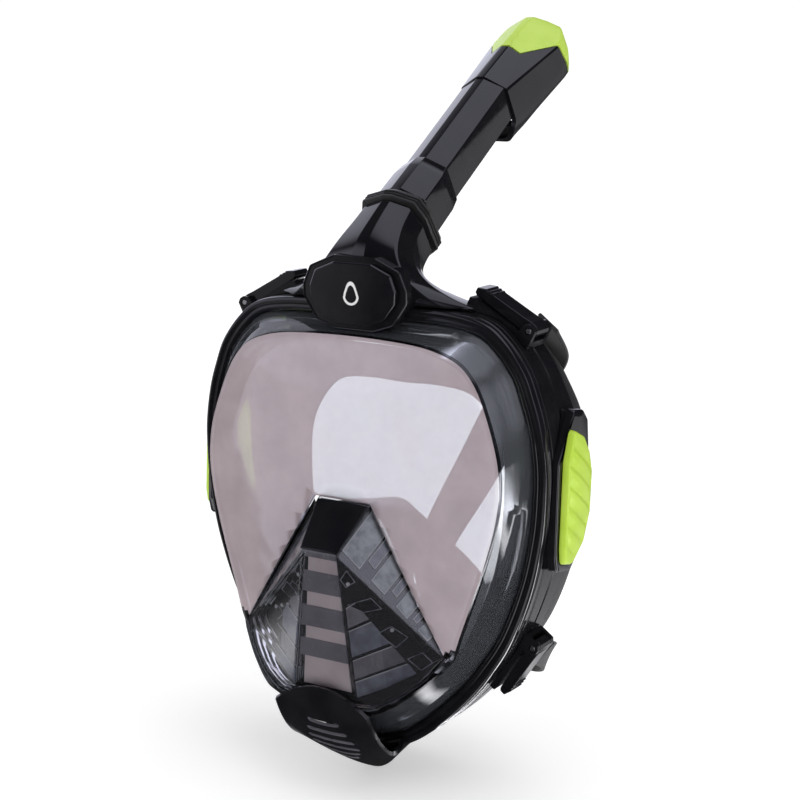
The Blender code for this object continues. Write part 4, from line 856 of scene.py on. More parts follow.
for sign in (1, -1):
    a, b, c = (mirrored(p, sign) for p in (TOP, STRIP_TOP, STRIP_FOOT))
    arc = [mirrored(p, sign) for p in NOSE_ARC]
    d = arc[0]

    def low(u, v):
        """A point of the lower facet: u down the strip, v out to the side."""
        return b + (c - b) * u + (d - b) * v

    # dark backing of the facets
    plate([lerp(a, b, 0.03), lerp(b, a, 0.01), lerp(d, b, 0.02), lerp(d, a, 0.03)],
          -2.6, 0.8, "gloss_black")
    plate([low(0.01, 0.0), low(0.98, 0.0), low(0.98, 0.03), low(0.02, 0.98), low(0.0, 0.98)],
          -2.6, 0.8, "gloss_black")
    plate([low(0.97, 0.02), lerp(c, arc[5], 0.85), lerp(c, arc[3], 0.94), lerp(c, arc[1], 0.97),
           low(0.03, 0.96)], -3.0, 0.8, "gloss_black")
    for t0, t1, tone in SLATS:
        # the far ends stop along a slanting line
        v0, v1 = (t0 - 0.22) / 1.079, (t1 - 0.22) / 1.079
        end = low(t0 - 0.907 * v0, v0)
        plate([low(t0, 0.02), low(t1, 0.02), low(t1 - 0.907 * v1, v1), end],
              PANEL_LIFT, 0.5, tone)
        plate([low(t0, 0.02), low(t0 + 0.006, 0.02), low(t0 + 0.006 - 0.907 * v0, v0), end],
              PANEL_LIFT + 0.5, 0.12, "edge_light")
    for tab in TABS:
        framed([low(u, v) for u, v in tab], "gloss_black", "slat_silver")
    for u, v in ((0.144, 0.078), (0.176, 0.485)):
        at, normal = low(u, v), (c - b).cross(d - b).normalized()
        normal = normal if normal.y < 0 else -normal
        profile = [(0.05, 0), (1.0, 0), (1.0, 0.4), (0.7, 0.75), (0.05, 0.85)]
        guard.append(turned("rivet", at - normal * 1.3, normal, profile, "edge_light", 20))
    for t0, t1, share, tone in PANES:
        up0, up1 = lerp(a, d, t0), lerp(a, d, t1)
        down0, down1 = lerp(b, d, max(0.0, t0 - 0.02)), lerp(b, d, t1 - 0.02)
        framed([lerp(up0, down0, 0.05), lerp(up1, down1, 0.05), lerp(up1, down1, share),
                lerp(up0, down0, share)], tone, "edge_light")


def strip_plate(t0, t1, u0, u1, lift, thick, material):
    """A plate on the middle strip: t down it, u across from -x to +x."""
    ends = [[mirrored(p, sign) for p in (STRIP_TOP, STRIP_FOOT)] for sign in (-1, 1)]
    plate([lerp(lerp(*ends[0], t), lerp(*ends[1], t), u)
           for t, u in ((t0, u0), (t1, u0), (t1, u1), (t0, u1))], lift, thick, material)


strip_plate(0.0, 0.985, 0.03, 0.97, -2.6, 0.8, "gloss_black")
for t0, t1 in ((0.04, 0.15), (0.29, 0.40), (0.54, 0.64), (0.76, 0.97)):
    strip_plate(t0, t1, 0.15, 0.93, PANEL_LIFT, 0.5, "cell_pale")
for t0, t1 in ((0.0, 0.045), (0.145, 0.295), (0.395, 0.545), (0.635, 0.765)):
    strip_plate(t0, t1, 0.06, 0.94, -1.5, 0.7, "slat_grey")
dress(join("nose_guard_slats", guard), "nose_guard", bevel=0.08, segments=1)

# the curved trim over the top of the nose pocket
start, end = Vector(TOP), Vector(STRIP_TOP)
along = end - start
along.x = 0
along.normalize()
normal = Vector((0, along.z, -along.y))
across = [(False, u) for u in np.linspace(-1, 1, 17)] + [(True, u) for u in np.linspace(1, -1, 17)]
rows = []
for t in np.linspace(0, 1, 9):
    mid = Vector((0, start.y + (end.y - start.y) * t, start.z + (end.z - start.z) * t))
    mid += along * (2.6 * (1 - t) - 0.2 * t)
    half = 14.6 + (10.6 - 14.6) * t
    rows.append([tuple(mid + Vector((u * half, 0, 0))
                       + normal * (0.35 if under else 0.7 + 1.3 * math.cos(u * 1.15)))
                 for under, u in across])
dress(loft("nose_bridge", rows), "nose_bridge_trim", bevel=0.35, smooth_angle=40)


# ---------------------------------------------------------------- chin and purge valve
def chin_point(u, v):
    """The guard's face: u from top to bottom, v from -1 to 1 across."""
    w = abs(v)
    top = Vector((26.5 * v, -30.2 + 1.2 * w ** 2, -105.0 - 11.5 * w ** 2))
    mid = Vector((29.5 * v, -31.0 + 20.0 * w ** 2.4, -139.0 - 13.0 * w ** 2))
    foot = Vector((23.5 * v, 17.0 - 6.5 * w ** 2, -162.0 + 20.5 * w ** 2))
    return tuple(top * (1 - u) ** 2 + mid * 2 * u * (1 - u) + foot * u * u)


CHIN_ROWS, CHIN_COLUMNS, KEEL_ROWS = 60, 64, 16


def chin_row(i, v):
    """The guard's face, then its keel going back under the frame ring."""
    if i <= CHIN_ROWS:
        return chin_point(i / CHIN_ROWS, v)
    t = (i - CHIN_ROWS) / KEEL_ROWS
    front, back = Vector(chin_point(1.0, v)), Vector((24.0 * v, 33.0, -153.0 + 11.0 * v * v))
    sag = Vector((0, 0, -0.8 * math.sin(math.pi * t) * (1 - v * v)))
    return tuple(front + (back - front) * t + sag)


width = CHIN_COLUMNS + 1
points = [chin_row(i, -1 + 2 * j / CHIN_COLUMNS)
          for i in range(CHIN_ROWS + KEEL_ROWS + 1) for j in range(width)]
faces = [(i * width + j, (i + 1) * width + j, (i + 1) * width + j + 1, i * width + j + 1)
         for i in range(CHIN_ROWS + KEEL_ROWS) for j in range(CHIN_COLUMNS)]
chin = raw("chin_guard", points, faces, "satin_black", closed=False)
if sum(p.normal.y for p in chin.data.polygons) > 0:
    chin.data.flip_normals()
thicken(chin, 2)
SLITS = ((0.27, 9.4), (0.36, 12.0), (0.45, 14.0), (0.54, 14.5), (0.63, 12.0), (0.71, 8.5))
for i, (u, half) in enumerate(SLITS):  # (place down the face, half length)
    # a curved bar with round ends that follows the surface
    rows = []
    for q in range(25):
        x = -half + 2 * half * q / 24
        v = x / 28.5
        height = 1.35 * math.sqrt(max(0.02, 1 - (max(0.0, abs(x) - half + 1.4) / 1.45) ** 2))
        p = Vector(chin_point(u + 0.035 * (1 - (x / half) ** 2), v))
        down = (Vector(chin_point(u + 0.02, v)) - Vector(chin_point(u - 0.02, v))).normalized()
        through = Vector((0, down.z, -down.y))
        rows.append([tuple(p + down * m * height + through * n * 6)
                     for m, n in ((-1, -1), (1, -1), (1, 1), (-1, 1))])
    # the slit walls take the tool's lighter grey: painted light on the walls of the black cover's
    # slits
    cut(chin, tool(loft("tool_slit_%d" % i, rows, "slat_grey"))).material_mode = "TRANSFER"
dress(chin, "chin_cover", bevel=0.45, angle=50, smooth_angle=50)
VENT = Vector((0, 1.5, -136.2))
VENT_AXIS = Vector((0, -0.546, -0.838)).normalized()
cut(visor, tool(rod("tool_vent", VENT, VENT_AXIS, 7.6, -9, 7, segments=40)))
dress(valve_seat("purge_valve_seat", VENT, VENT_AXIS, 0.9, 3.3),
      "purge_seat", smooth_angle=40)
dress(flap_disc("purge_valve_disc", VENT, VENT_AXIS, 9.6, 3.7, 4.5),
      "purge_disc", smooth_angle=40)

# ---------------------------------------------------------------- grip pads
# outlines seen from the side, (y, z)
BEZEL = [(35, 31), (44, 29.5), (49, 24), (50.5, 8), (50, -20), (45, -36), (33, -46.5),
         (19, -44), (17, -36), (19, 8)]
PAD = [(28, 24), (38.5, 19), (44.5, 10.5), (47.5, 0), (46, -20), (39.5, -34), (28, -42.5),
       (20.6, -40.6), (19.6, -33), (22.2, 8.6)]
PAD_CENTRE = (33.0, -9.0)
ring_prism = tool(loft("tool_ring_prism", [ring_loop(-0.3, 5.0), ring_loop(-0.3, 70.0)]))


def pad_grid(sign):
    """The lime pad: a domed plate with slanting ribs, as a closed grid over its outline."""
    outline = rounded(shrink(PAD, 0.4), 3.0, 6)
    cy, cz = PAD_CENTRE
    count, rings = 240, 34
    angles = sorted({round(math.atan2(z - cz, y - cy), 6) for y, z in outline}
                    | {round(-math.pi + 2 * math.pi * i / count, 6) for i in range(count)})
    edge = sample(outline, angles, PAD_CENTRE)
    n = len(angles)
    loops = [[(sign * 101.9, cy + (y - cy) * 0.999, cz + (z - cz) * 0.999) for y, z in edge]]
    shares = [1.0] + [1.0 - 0.012 * q for q in (1, 2, 3)]
    for share in shares + [0.955 * (1 - i / rings) for i in range(rings)]:
        row = []
        depth = 1.0 - share
        bulge = 3.0 * math.sqrt(max(0, 1 - max(0.0, 1 - depth / 0.05) ** 2))
        bulge += 1.7 * (1 - share ** 2)
        ribbed = smooth((depth - 0.10) / 0.06)
        for y, z in edge:
            yy, zz = cy + (y - cy) * share, cz + (z - cz) * share
            phase = ((zz - cz) * 0.86 + (yy - cy) * 0.62) / 8.6
            saw = phase - math.floor(phase)
            rib = 0.75 * smooth(min(saw / 0.60, (1 - saw) / 0.30))
            row.append((sign * (102.0 + bulge - 0.55 * ribbed + rib * ribbed), yy, zz))
        loops.append(row)
    points, faces = skin(loops, first=True)
    points.append((sign * (102.0 + 3.0 + 1.7), cy, cz))
    base = (len(loops) - 1) * n
    faces += [(base + j, base + (j + 1) % n, len(points) - 1) for j in range(n)]
    return points, faces


BEZEL_STATIONS = (  # (x, outline, shrink, corner radius)
    (90, BEZEL, 0, 2.5), (96.0, BEZEL, 0, 2.5), (96.2, BEZEL, 0.5, 2.4), (97.0, BEZEL, 0.5, 2.4),
    (97.2, BEZEL, 0, 2.5), (100.4, BEZEL, 0, 2.5), (101.2, BEZEL, 0.35, 2.4),
    (101.6, BEZEL, 1.0, 2.3), (101.6, PAD, 0, 3.2), (100.9, PAD, 0.4, 3.0))
for side, sign in SIDES:
    bezel = loft("pad_bezel_" + side, [
        [(sign * x, y, z) for y, z in rounded(shrink(outline, by) if by else outline, radius)]
        for x, outline, by, radius in BEZEL_STATIONS])
    cut(bezel, ring_prism, solver="MANIFOLD")
    dress(bezel, "grip_bezel_" + side, smooth_angle=35)
    dress(raw("grip_pad_ribbed_" + side, *pad_grid(sign), "lime"),
          "grip_pad_" + side, smooth_angle=50)

# the pads' inner faces, on the inside of the skirt's wall; they glow with painted light that stands
# for light through the pads
lanes = [inset(RING, by) for by in (12.6, 7.8, 6.8, 11.6)]
for side, sign in SIDES:
    marks = sorted((z, i) for i, (x, z) in enumerate(RING) if x * sign > 0 and -42 < z < 15)
    rows = []
    for k, (_, i) in enumerate(marks):
        tip = 3.5 * (1 - smooth(min(k, len(marks) - 1 - k) / 4))
        depths = (24.5 + tip, 41.0 - tip, 41.0 - tip, 24.5 + tip)
        rows.append([(lane[i][0], y, lane[i][1]) for lane, y in zip(lanes, depths)])
    dress(loft("grip_pad_inner_face_" + side, rows, "lime_inner"), smooth_angle=40)

# ---------------------------------------------------------------- forehead duct and badge
SECTION = [(0, -1), (0.6, -1), (1, -0.7), (1, -0.25), (1, 0.22), (0.78, 0.79), (0.13, 1)]
SECTION += [(-u, v) for u, v in reversed(SECTION[1:])]
DUCT = [  # centre (y, z), direction (y, z) of the section's height, half width, half height
    ((24.0, 76.4), (-1.0, 0.0001), 55.0, 12.4), ((22.5, 80.0), (-0.985, 0.17), 44.0, 16.5),
    ((21.6, 86.0), (-0.94, 0.34), 31.5, 18.4), ((22.8, 92.5), (-0.80, 0.60), 23.5, 18.4),
    ((29.0, 100.3), TUBE_FRONT, 18.6, 17.2), ((39.9, 108.3), TUBE_FRONT, 16.8, 17.4)]


def duct_loops(rows, per_span):
    flat = [(*centre, math.atan2(up[1], up[0]), a, b) for centre, up, a, b in rows]
    out = []
    for cy, cz, angle, a, b in spline(flat, per_span):
        outline = rounded([(a * u, b * v) for u, v in SECTION], 2.6, 4)
        out.append([(x, cy + v * math.cos(angle), cz + v * math.sin(angle)) for x, v in outline])
    return out


duct = loft("forehead_housing", duct_loops(DUCT, 8))
HUB = rounded([  # (x, z)
    (29.5, 84.5), (25.5, 93.5), (12, 99.3), (-12, 99.3), (-25.5, 93.5), (-29.5, 84.5),
    (-29.5, 78.5), (-22, 67.5), (-11, 63.9), (11, 63.9), (22, 67.5), (29.5, 78.5)], 3.0, 6)
HUB_EDGE = ((0.955, 2.9), (0.965, 2.45), (0.985, 2.4), (0.996, 2.7), (1.0, 3.4))  # (scale, y)
hub_loops = [[(x * k, y, 82 + (z - 82) * k) for x, z in HUB] for k, y in HUB_EDGE]
hub_loops += [[(x, 6.0, max(z, 66.4)) for x, z in HUB],
              [(x * 0.97, 12.1, max(z, 69.4)) for x, z in HUB]]
cut(duct, tool(loft("tool_hub", hub_loops)), "UNION")
BORE = [((24.0, 74.0), (-1.0, 0.0001), 51.0, 9.6),
        *((centre, up, a - 2.6, b - 2.6) for centre, up, a, b in DUCT[1:-1]),
        ((41.6, 109.4), TUBE_FRONT, 14.2, 14.8)]
cut(duct, tool(loft("tool_bore", duct_loops(BORE, 4))))
dress(duct, "forehead_duct", smooth_angle=28)
BADGE = rounded([  # (x, z)
    (24.6, 84.0), (21.5, 91.8), (10.5, 96.4), (-10.5, 96.4), (-21.5, 91.8), (-24.6, 84.0),
    (-24.2, 78.6), (-17.5, 69.8), (-8.5, 66.8), (8.5, 66.8), (17.5, 69.8), (24.2, 78.6)], 2.6, 6)
BADGE_EDGE = ((1, 2.1), (1, 0.9), (0.996, 0.75), (0.955, -0.1), (0.945, -0.2), (0.93, -0.2))
dress(loft("badge_face", [[(x * k, y, 81.6 + (z - 81.6) * k) for x, z in BADGE]
                          for k, y in BADGE_EDGE]),
      "badge_plate", smooth_angle=25)
# a drop-shaped outline printed on the badge
DROP_Z = 80.6
drop = []
for i in range(48):
    t = 2 * math.pi * i / 48
    r = 4.4 + 2.6 * max(0.0, math.sin(t)) ** 6
    narrow = 0.92 if math.sin(t) > 0 else 1
    drop.append((r * math.cos(t) * narrow, DROP_Z + r * math.sin(t)))
drop_hole = [(x * 0.74, DROP_Z + (z - DROP_Z) * 0.74) for x, z in drop]
dress(slab("badge_mark", drop, -0.1, 0.1, Matrix.Translation(world((0, -0.32, 0))) @ FACING,
           "print_white", holes=[drop_hole]))

# ---------------------------------------------------------------- socket lip, tube
LIP = rounded([  # (x, forward of the tube's axis)
    (18.5, -13.0), (18.5, 6.5), (15.0, 15.5), (2.5, 19.6), (-2.5, 19.6), (-15.0, 15.5),
    (-18.5, 6.5), (-18.5, -13.0), (-11.0, -18.5), (11.0, -18.5)], 2.4, 6)
LIP_PROFILE = [  # (along the tube, scale)
    (-6.4, 0.66), (-6.4, 0.955), (-6.1, 0.985), (-5.4, 1.0), (-4.9, 0.99), (-4.6, 0.955),
    (-3.6, 0.955), (-3.3, 0.985), (-2.9, 0.99), (-2.6, 0.955), (-1.9, 0.955), (-1.7, 0.985),
    (-1.2, 0.99), (-0.8, 0.965), (-0.2, 0.95), (0.7, 0.935), (1.3, 0.915), (1.4, 0.89),
    (1.4, 0.66)]
dress(loft("socket_gasket", [[on_tube(s + 1.2 * smooth(-n / 12), x * k, n * k) for x, n in LIP]
                             for s, k in LIP_PROFILE], "silicone", ring=True),
      "socket_lip", smooth_angle=32)


def tube_ring(name, stations, material="gloss_black", corner=1.6):
    """A ring with ridged front and back, from (along, half width, half depth, ridge rise)."""
    loops = []
    for s, a, b, rise in stations:
        c, flat = b - rise, 0.18 * a
        section = [(a, -c), (a, c), (flat, b), (-flat, b), (-a, c), (-a, -c),
                   (-flat, -b), (flat, -b)]
        outline = rounded(section, [corner, corner, 0.8, 0.8] * 2)
        loops.append([on_tube(s, x, n) for x, n in outline])
    return loft(name, loops, material, ring=True)


TUBE = (TUBE_HALF_WIDTH, TUBE_HALF_DEPTH, TUBE_RISE)
TUBE_BORE = (TUBE_HALF_WIDTH - 1.8, TUBE_HALF_DEPTH - 2.0, TUBE_RISE - 0.6)
SLEEVE_BORE = (TUBE_HALF_WIDTH + 0.35, TUBE_HALF_DEPTH + 0.4, TUBE_RISE)
dress(tube_ring("tube_body", [
    (-22, 9.2, 10.2, 3.9), (3.0, 9.4, 10.6, 4.0), (3.0, *TUBE), (TUBE_END, *TUBE),
    (TUBE_END, *TUBE_BORE), (5.0, *TUBE_BORE), (0.5, 7.6, 8.6, 3.4), (-22, 7.4, 8.4, 3.3)]),
    "snorkel_tube", smooth_angle=25)
dress(tube_ring("tube_sleeve_shell", [
    (3.2, *SLEEVE_BORE), (3.2, 14.2, 16.8, 6.6), (3.6, 14.4, 17.0, 6.7), (23.0, 14.2, 16.7, 6.6),
    (24.0, 14.05, 16.6, 6.55), (30.1, 13.0, 15.8, 6.0), (30.5, 12.8, 15.6, 6.0),
    (30.5, *SLEEVE_BORE)], corner=1.2), "tube_sleeve", smooth_angle=25)
dress(tube_ring("tube_o_ring", [
    (-9.6, 9.7, 10.8, 4.0), (-10.0, 10.4, 11.4, 4.2), (-10.6, 10.7, 11.7, 4.3),
    (-11.6, 10.7, 11.7, 4.3), (-12.2, 10.4, 11.4, 4.2), (-12.6, 9.7, 10.8, 4.0)], "silicone"),
    "tube_seal", smooth_angle=50)


# ---------------------------------------------------------------- dry-top head
def head_section(s):
    t = max(0.0, min(1.0, (s - 100.0) / 48.0))
    wide, corner, front = 13.7 + 6.3 * t, 8.6 - 5.8 * t, 15.9 - 2.0 * t
    crease = corner + (front - corner) * (wide - 8.4) / (wide - 2.4)
    back = 21.5 + 1.6 * smooth((s - 94) / 22)
    half = [(9.5, -back), (wide - 0.6, -(back - 6.0)), (wide, -11.0), (wide, corner),
            (8.4, crease), (2.4, front)]
    return half + [(-x, n) for x, n in reversed(half)]


HEAD_RADII = [3.0, 3.0, 2.0, 1.4, 0.0, 1.0]
# where each corner's line starts and ends along the tube
START = [95.0, 95.0, 99.7, 99.7, 99.7, 99.7]
SEAM = [152.0, 152.0, 151.5, 148.0, 127.9, 129.5]
for corners in (HEAD_RADII, START, SEAM):
    corners += corners[::-1]


def head_loop(rows):
    """Corner rows (along, x, front) to a rounded closed loop in space."""
    out, n = [], len(rows)
    for i, p in enumerate(rows):
        corner = Vector(p)
        if HEAD_RADII[i] == 0.0:
            out.extend([tuple(corner)] * 6)
            continue
        before, after = Vector(rows[i - 1]) - corner, Vector(rows[(i + 1) % n]) - corner
        reach = min(HEAD_RADII[i], before.length * 0.4, after.length * 0.4)
        out += bend(corner, before.normalized(), after.normalized(), reach, 5)
    return [on_tube(*p) for p in out]


def head_at(share):
    along = [start + (seam - start) * share for start, seam in zip(START, SEAM)]
    return [(s, *head_section(s)[i]) for i, s in enumerate(along)]


def pinch(rows, by):
    """The corners moved inward by a wall's thickness."""
    return [(s, x - math.copysign(by, x),
             n - math.copysign(by * min(1.0, abs(n + 4) / 6), n + 4)) for s, x, n in rows]


HEAD_WALL = 1.9
stations = [head_at(i / 16) for i in range(17)]
outer = [head_loop(rows) for rows in stations]
inner = [head_loop(pinch(rows, HEAD_WALL)) for rows in stations]
head = weld(loft("head_housing", outer + inner[::-1], ring=True))
TILT = Matrix.Rotation(-TUBE_LEAN, 3, "X")
cut(head, tool(block("tool_grille", on_tube(131.0, 0, -24.0), (15.4, 12.0, 41.0), TILT)))
dress(head, "head_shell", smooth_angle=25)
dress(tube_ring("head_collar_ring", [
    (86.0, 9.7, 12.1, 5.4), (102.0, 9.7, 12.1, 5.4), (102.0, 8.4, 10.6, 4.8),
    (86.0, 8.4, 10.6, 4.8)]), "head_collar")

# the lime cap over the seam
seam = head_at(1.0)
cap_top = [(158.0, 9.5, -18.5), (159.0, 16.5, -13.5), (160.5, 18.0, -7.0), (162.5, 16.0, 4.5),
           (161.5, 8.4, 9.0), (160.0, 2.2, 12.6)]
cap_top += [(s, -x, n) for s, x, n in reversed(cap_top)]
cap_end = [(s + 2.0, x * 0.86, (n + 4) * 0.86 - 4) for s, x, n in cap_top]
cap_last = [(s + 0.4, x * 0.6, (n + 4) * 0.6 - 4) for s, x, n in cap_end]
WAY = 0.62
half_way = [(s0 + (s1 - s0) * WAY, x0 + (x1 - x0) * WAY * 0.6, n0 + (n1 - n0) * WAY * 0.7)
            for (s0, x0, n0), (s1, x1, n1) in zip(seam, cap_top)]
cap = spline_loops([[(s + 1.1, x, n) for s, x, n in seam], half_way, cap_top, cap_end,
                    cap_last], 6)
lining = [[(s - 2.2 * min(1.0, i / 12), x * (1 - 0.1 * i / 12), n * (1 - 0.1 * i / 12))
           for s, x, n in pinch(row, HEAD_WALL)] for i, row in enumerate(cap[:13])]
dress(weld(loft("head_cap_lime", [head_loop(row) for row in lining[::-1] + cap], "lime_cap")),
      "head_cap", smooth_angle=22)
grille = block("head_vent_grille", on_tube(131.0, 0, -23.6), (14.6, 1.6, 40.2), TILT,
               "satin_black")
for i in range(5):
    rows = [[on_tube(117.0 + 5.5 * i + k * 1.2 + 0.14 * abs(x), x, n)
             for k, n in ((-1, -34), (1, -34), (1, -21), (-1, -21))] for x in range(-8, 9, 2)]
    cut(grille, tool(loft("tool_vent_slot_%d" % i, rows)))
dress(grille, "head_grille", bevel=0.25, segments=2)


# ---------------------------------------------------------------- clips
def clip(name, sign, pivot, tip, front, back, foot_end):
    """Pin, lever and base; profiles are (along pivot to tip, outward from the mask)."""
    px, pz = pivot
    tx, tz = tip
    angle = math.atan2(tz - pz, tx - px)
    cos, sin = math.cos(angle), math.sin(angle)
    length = math.hypot(tx - px, tz - pz)
    width = back - front
    out = 1.0 if -sin * (px + tx) / 2 + cos * ((pz + tz) / 2 - CENTRE[1]) > 0 else -1.0

    def prism(name, profile, y0, y1, material="gloss_black"):
        outline = [(sign * (px + u * cos - w * sin * out), pz + u * sin + w * cos * out)
                   for u, w in profile]
        return loft(name, [[(x, y, z) for x, z in outline] for y in (y0, y1)], material)

    def pin_hole(name, radius, over):
        at = (sign * px, front - over, pz)
        return tool(rod(name, at, (0, 1, 0), radius, 0, width + 2 * over, segments=32))

    pin = turned("clip_axle_" + name, (sign * px, front - 1.0, pz), (0, 1, 0), [
        (0.01, 0), (1.2, 0), (1.5, 0.3), (1.5, width + 1.7), (1.2, width + 2.0),
        (0.01, width + 2.0)], "steel", segments=32)
    dress(pin, "clip_pin_" + name)
    profile = [
        (-3.4, 0.0), (-3.0, -1.8), (-1.6, -3.0), (0.4, -3.3), (2.4, -3.0), (4.0, -2.9),
        (length, -2.9), (length + 1.6, -2.0), (length + 1.8, 0.6), (length - 1.5, 2.2),
        (length - 2.6, 2.7), (length - 3.4, 2.15), (length - 4.6, 2.8), (length - 5.4, 2.25),
        (length - 6.6, 2.9), (length - 7.4, 2.4), (6.0, 3.0), (1.5, 3.4), (-1.6, 3.0),
        (-3.0, 1.8)]
    lever = prism("clip_latch_" + name, rounded(profile, 0.5, 3), front + 1.6, back - 1.6)
    cut(lever, pin_hole("tool_lever_pin_" + name, 1.9, 3))
    dress(lever, "clip_lever_" + name, bevel=0.35)
    foot = [(-3.6, -4.2), (-3.6, -11.0), (foot_end, -11.0), (length + 1.0, -11.0),
            (length + 1.6, -4.2), (length - 1.0, -3.4), (5.0, -3.4), (3.8, -3.8)]
    base = prism("clip_bracket_" + name, foot, front - 1.2, back + 1.2, "satin_black")
    cheek = rounded([(-3.6, -5.0), (4.6, -5.0), (3.4, 1.6), (1.2, 3.0), (-1.2, 3.0),
                     (-3.2, 1.6)], 0.8, 4)
    for tag, y in (("a", front), ("b", back)):
        cut(base, tool(prism(f"tool_cheek_{name}_{tag}", cheek, y - 1.2, y + 1.2)), "UNION")
    cut(base, pin_hole("tool_base_pin_" + name, 1.8, 6))
    cut(base, ring_prism)
    dress(base, "clip_base_" + name, bevel=0.3, segments=2)


CLIPS = {  # pivot and tip (x, z), front and back y, place of a point on the foot
    "upper": ((81.5, 67.5), (54.0, 84.0), 26.0, 41.0, 8.0),
    "lower": ((86.0, -86.0), (70.0, -111.5), 26.0, 40.0, 20.0)}
for level, spec in CLIPS.items():
    for side, sign in SIDES:
        clip(f"{level}_{side}", sign, *spec)


# ---------------------------------------------------------------- harness
STRAP_WIDTH, STRAP_THICK = 15.0, 1.8


def strap(name, node, stations):
    """Elastic webbing: a band with rounded edges and UVs in mm for its weave."""
    path, across, widths = (spline(column, 24) for column in zip(
        *((point, way, (width,)) for point, way, width in stations)))
    a, b = STRAP_WIDTH / 2, STRAP_THICK / 2
    section = rounded([(a, b), (-a, b), (-a, -b), (a, -b)], 0.8, 4)
    loops, run = [], [0.0]
    for i, p in enumerate(path):
        if i:
            run.append(run[-1] + math.dist(p, path[i - 1]))
        after, before = path[min(len(path) - 1, i + 1)], path[max(0, i - 1)]
        tangent = (Vector(after) - Vector(before)).normalized()
        wide = Vector(across[i])
        wide = (wide - tangent * wide.dot(tangent)).normalized()
        normal = tangent.cross(wide)
        wave = 0.05 * math.sin(run[-1] * 2 * math.pi / RIB_PITCH)
        extra = (widths[i][0] - STRAP_WIDTH) / 2
        loops.append([tuple(Vector(p) + wide * (u + math.copysign(extra, u))
                            + normal * (v + math.copysign(wave, v))) for u, v in section])
    points, faces = skin(loops, first=True, last=True)
    obj = raw(name, points, faces, "webbing")
    n = len(section)
    uv = obj.data.uv_layers.new(name="strap")
    for corner in obj.data.loops:
        v = corner.vertex_index
        uv.data[corner.index].uv = (section[v % n][0], run[v // n])
    dress(obj, node, smooth_angle=45)


# The harness hangs slack: the right upper strap crosses behind the face opening, the left one
# hangs beside the skirt. Stations are (point, direction across the strap, width).
HARNESS = {
    "upper_right": [
        ((80.5, 46.8, 68.5), (0.7, 0, -0.7), 15.0), ((77.5, 60.5, 54.0), (0.75, 0, -0.6), 17.0),
        ((65.5, 66.5, 41.0), (0.8, 0, -0.6), 21.0), ((50.1, 69.5, 23.9), (0.84, 0, -0.54), 24.0),
        ((26.6, 77.0, -14.1), (0.84, 0, -0.54), 24.0), ((-1.1, 84.5, -57.8), (0.9, 0, -0.4), 20.0),
        ((-5.5, 87.0, -76.0), (1.0, 0, -0.1), 17.0), ((-2.0, 88.0, -94.5), (1.0, 0, 0), 15.0)],
    "upper_left": [
        ((-80.5, 46.8, 68.5), (-0.7, 0, -0.7), 15.0), ((-80.5, 61.0, 54.0), (-0.85, 0, -0.5), 17.0),
        ((-85.0, 69.5, 34.0), (-1.0, 0, -0.15), 21.0), ((-88.0, 71.5, 10.0), (-1.0, 0, 0), 24.0),
        ((-88.0, 72.0, -20.0), (-1.0, 0, 0), 24.0), ((-84.0, 73.5, -48.0), (-0.95, 0, -0.3), 22.0),
        ((-72.0, 78.0, -72.0), (-0.8, 0, -0.6), 19.0),
        ((-57.0, 84.0, -88.0), (-0.5, 0, -0.85), 17.0), ((-42.0, 88.0, -94.5), (0, 0, -1.0), 15.0)],
    "lower_right": [
        ((80.5, 47.0, -95.5), (-0.55, 0, -0.8), 15.0),
        ((76.5, 60.0, -101.5), (-0.4, 0, -0.9), 15.0),
        ((63.0, 73.0, -109.0), (-0.2, 0, -1.0), 15.0),
        ((44.0, 82.0, -112.5), (-0.1, 0, -1.0), 15.0),
        ((20.0, 87.0, -113.5), (0, 0, -1.0), 15.0), ((-2.0, 88.0, -113.5), (0, 0, -1.0), 15.0)],
    "lower_left": [
        ((-80.5, 47.0, -95.5), (0.55, 0, -0.8), 15.0),
        ((-78.0, 60.0, -101.5), (0.4, 0, -0.9), 15.0),
        ((-70.0, 72.5, -109.0), (0.2, 0, -1.0), 15.0),
        ((-58.0, 83.0, -113.0), (0.1, 0, -1.0), 15.0),
        ((-42.0, 88.0, -113.5), (0, 0, -1.0), 15.0)]}
for key, stations in HARNESS.items():
    strap("head_strap_" + key, "strap_" + key, stations)
BACK_PAD = [(30, 20), (16, 20), (0, 14), (-16, 20), (-30, 20), (-31, 4), (-22, 0), (-31, -4),
            (-30, -20), (-16, -20), (0, -14), (16, -20), (30, -20), (31, -4), (22, 0), (31, 4)]
slots = [rounded([(6, 1.5 + z), (-6, 1.5 + z), (-6, -1.5 + z), (6, -1.5 + z)], 1.4, 4)
         for z in (9, 3, -3, -9)]
dress(slab("occiput_pad", rounded(BACK_PAD, 2.5, 6), -1.5, 1.5,
           Matrix.Translation(world((-22.0, 91.2, -104.0))) @ FACING, "silicone", holes=slots),
      "back_pad", bevel=0.6, smooth_angle=35)

# ---------------------------------------------------------------- pieces kept from the CAD
KEEP = {"duct_divider": "smoke", "exhaust_flap_left": "valve_film",
        "exhaust_flap_right": "valve_film", "float": "float_white", "float_guide": "steel",
        "float_seal": "silicone", "head_floor": "satin_black", "inlet_seat": "smoke",
        "tube_divider": "smoke"}
for node, material in KEEP.items():
    obj = CAD[node]
    obj.data.materials.clear()
    obj.data.materials.append(MATERIALS[material])
    for poly in obj.data.polygons:
        poly.material_index = 0
    mod = obj.modifiers.new("edges", "BEVEL")
    mod.width, mod.segments = 0.0002, 2
    mod.limit_method, mod.angle_limit = "ANGLE", math.radians(30)

# ---------------------------------------------------------------- floor
FLOOR_HALF, FLOOR_Z = 6.0, -0.0004  # metres
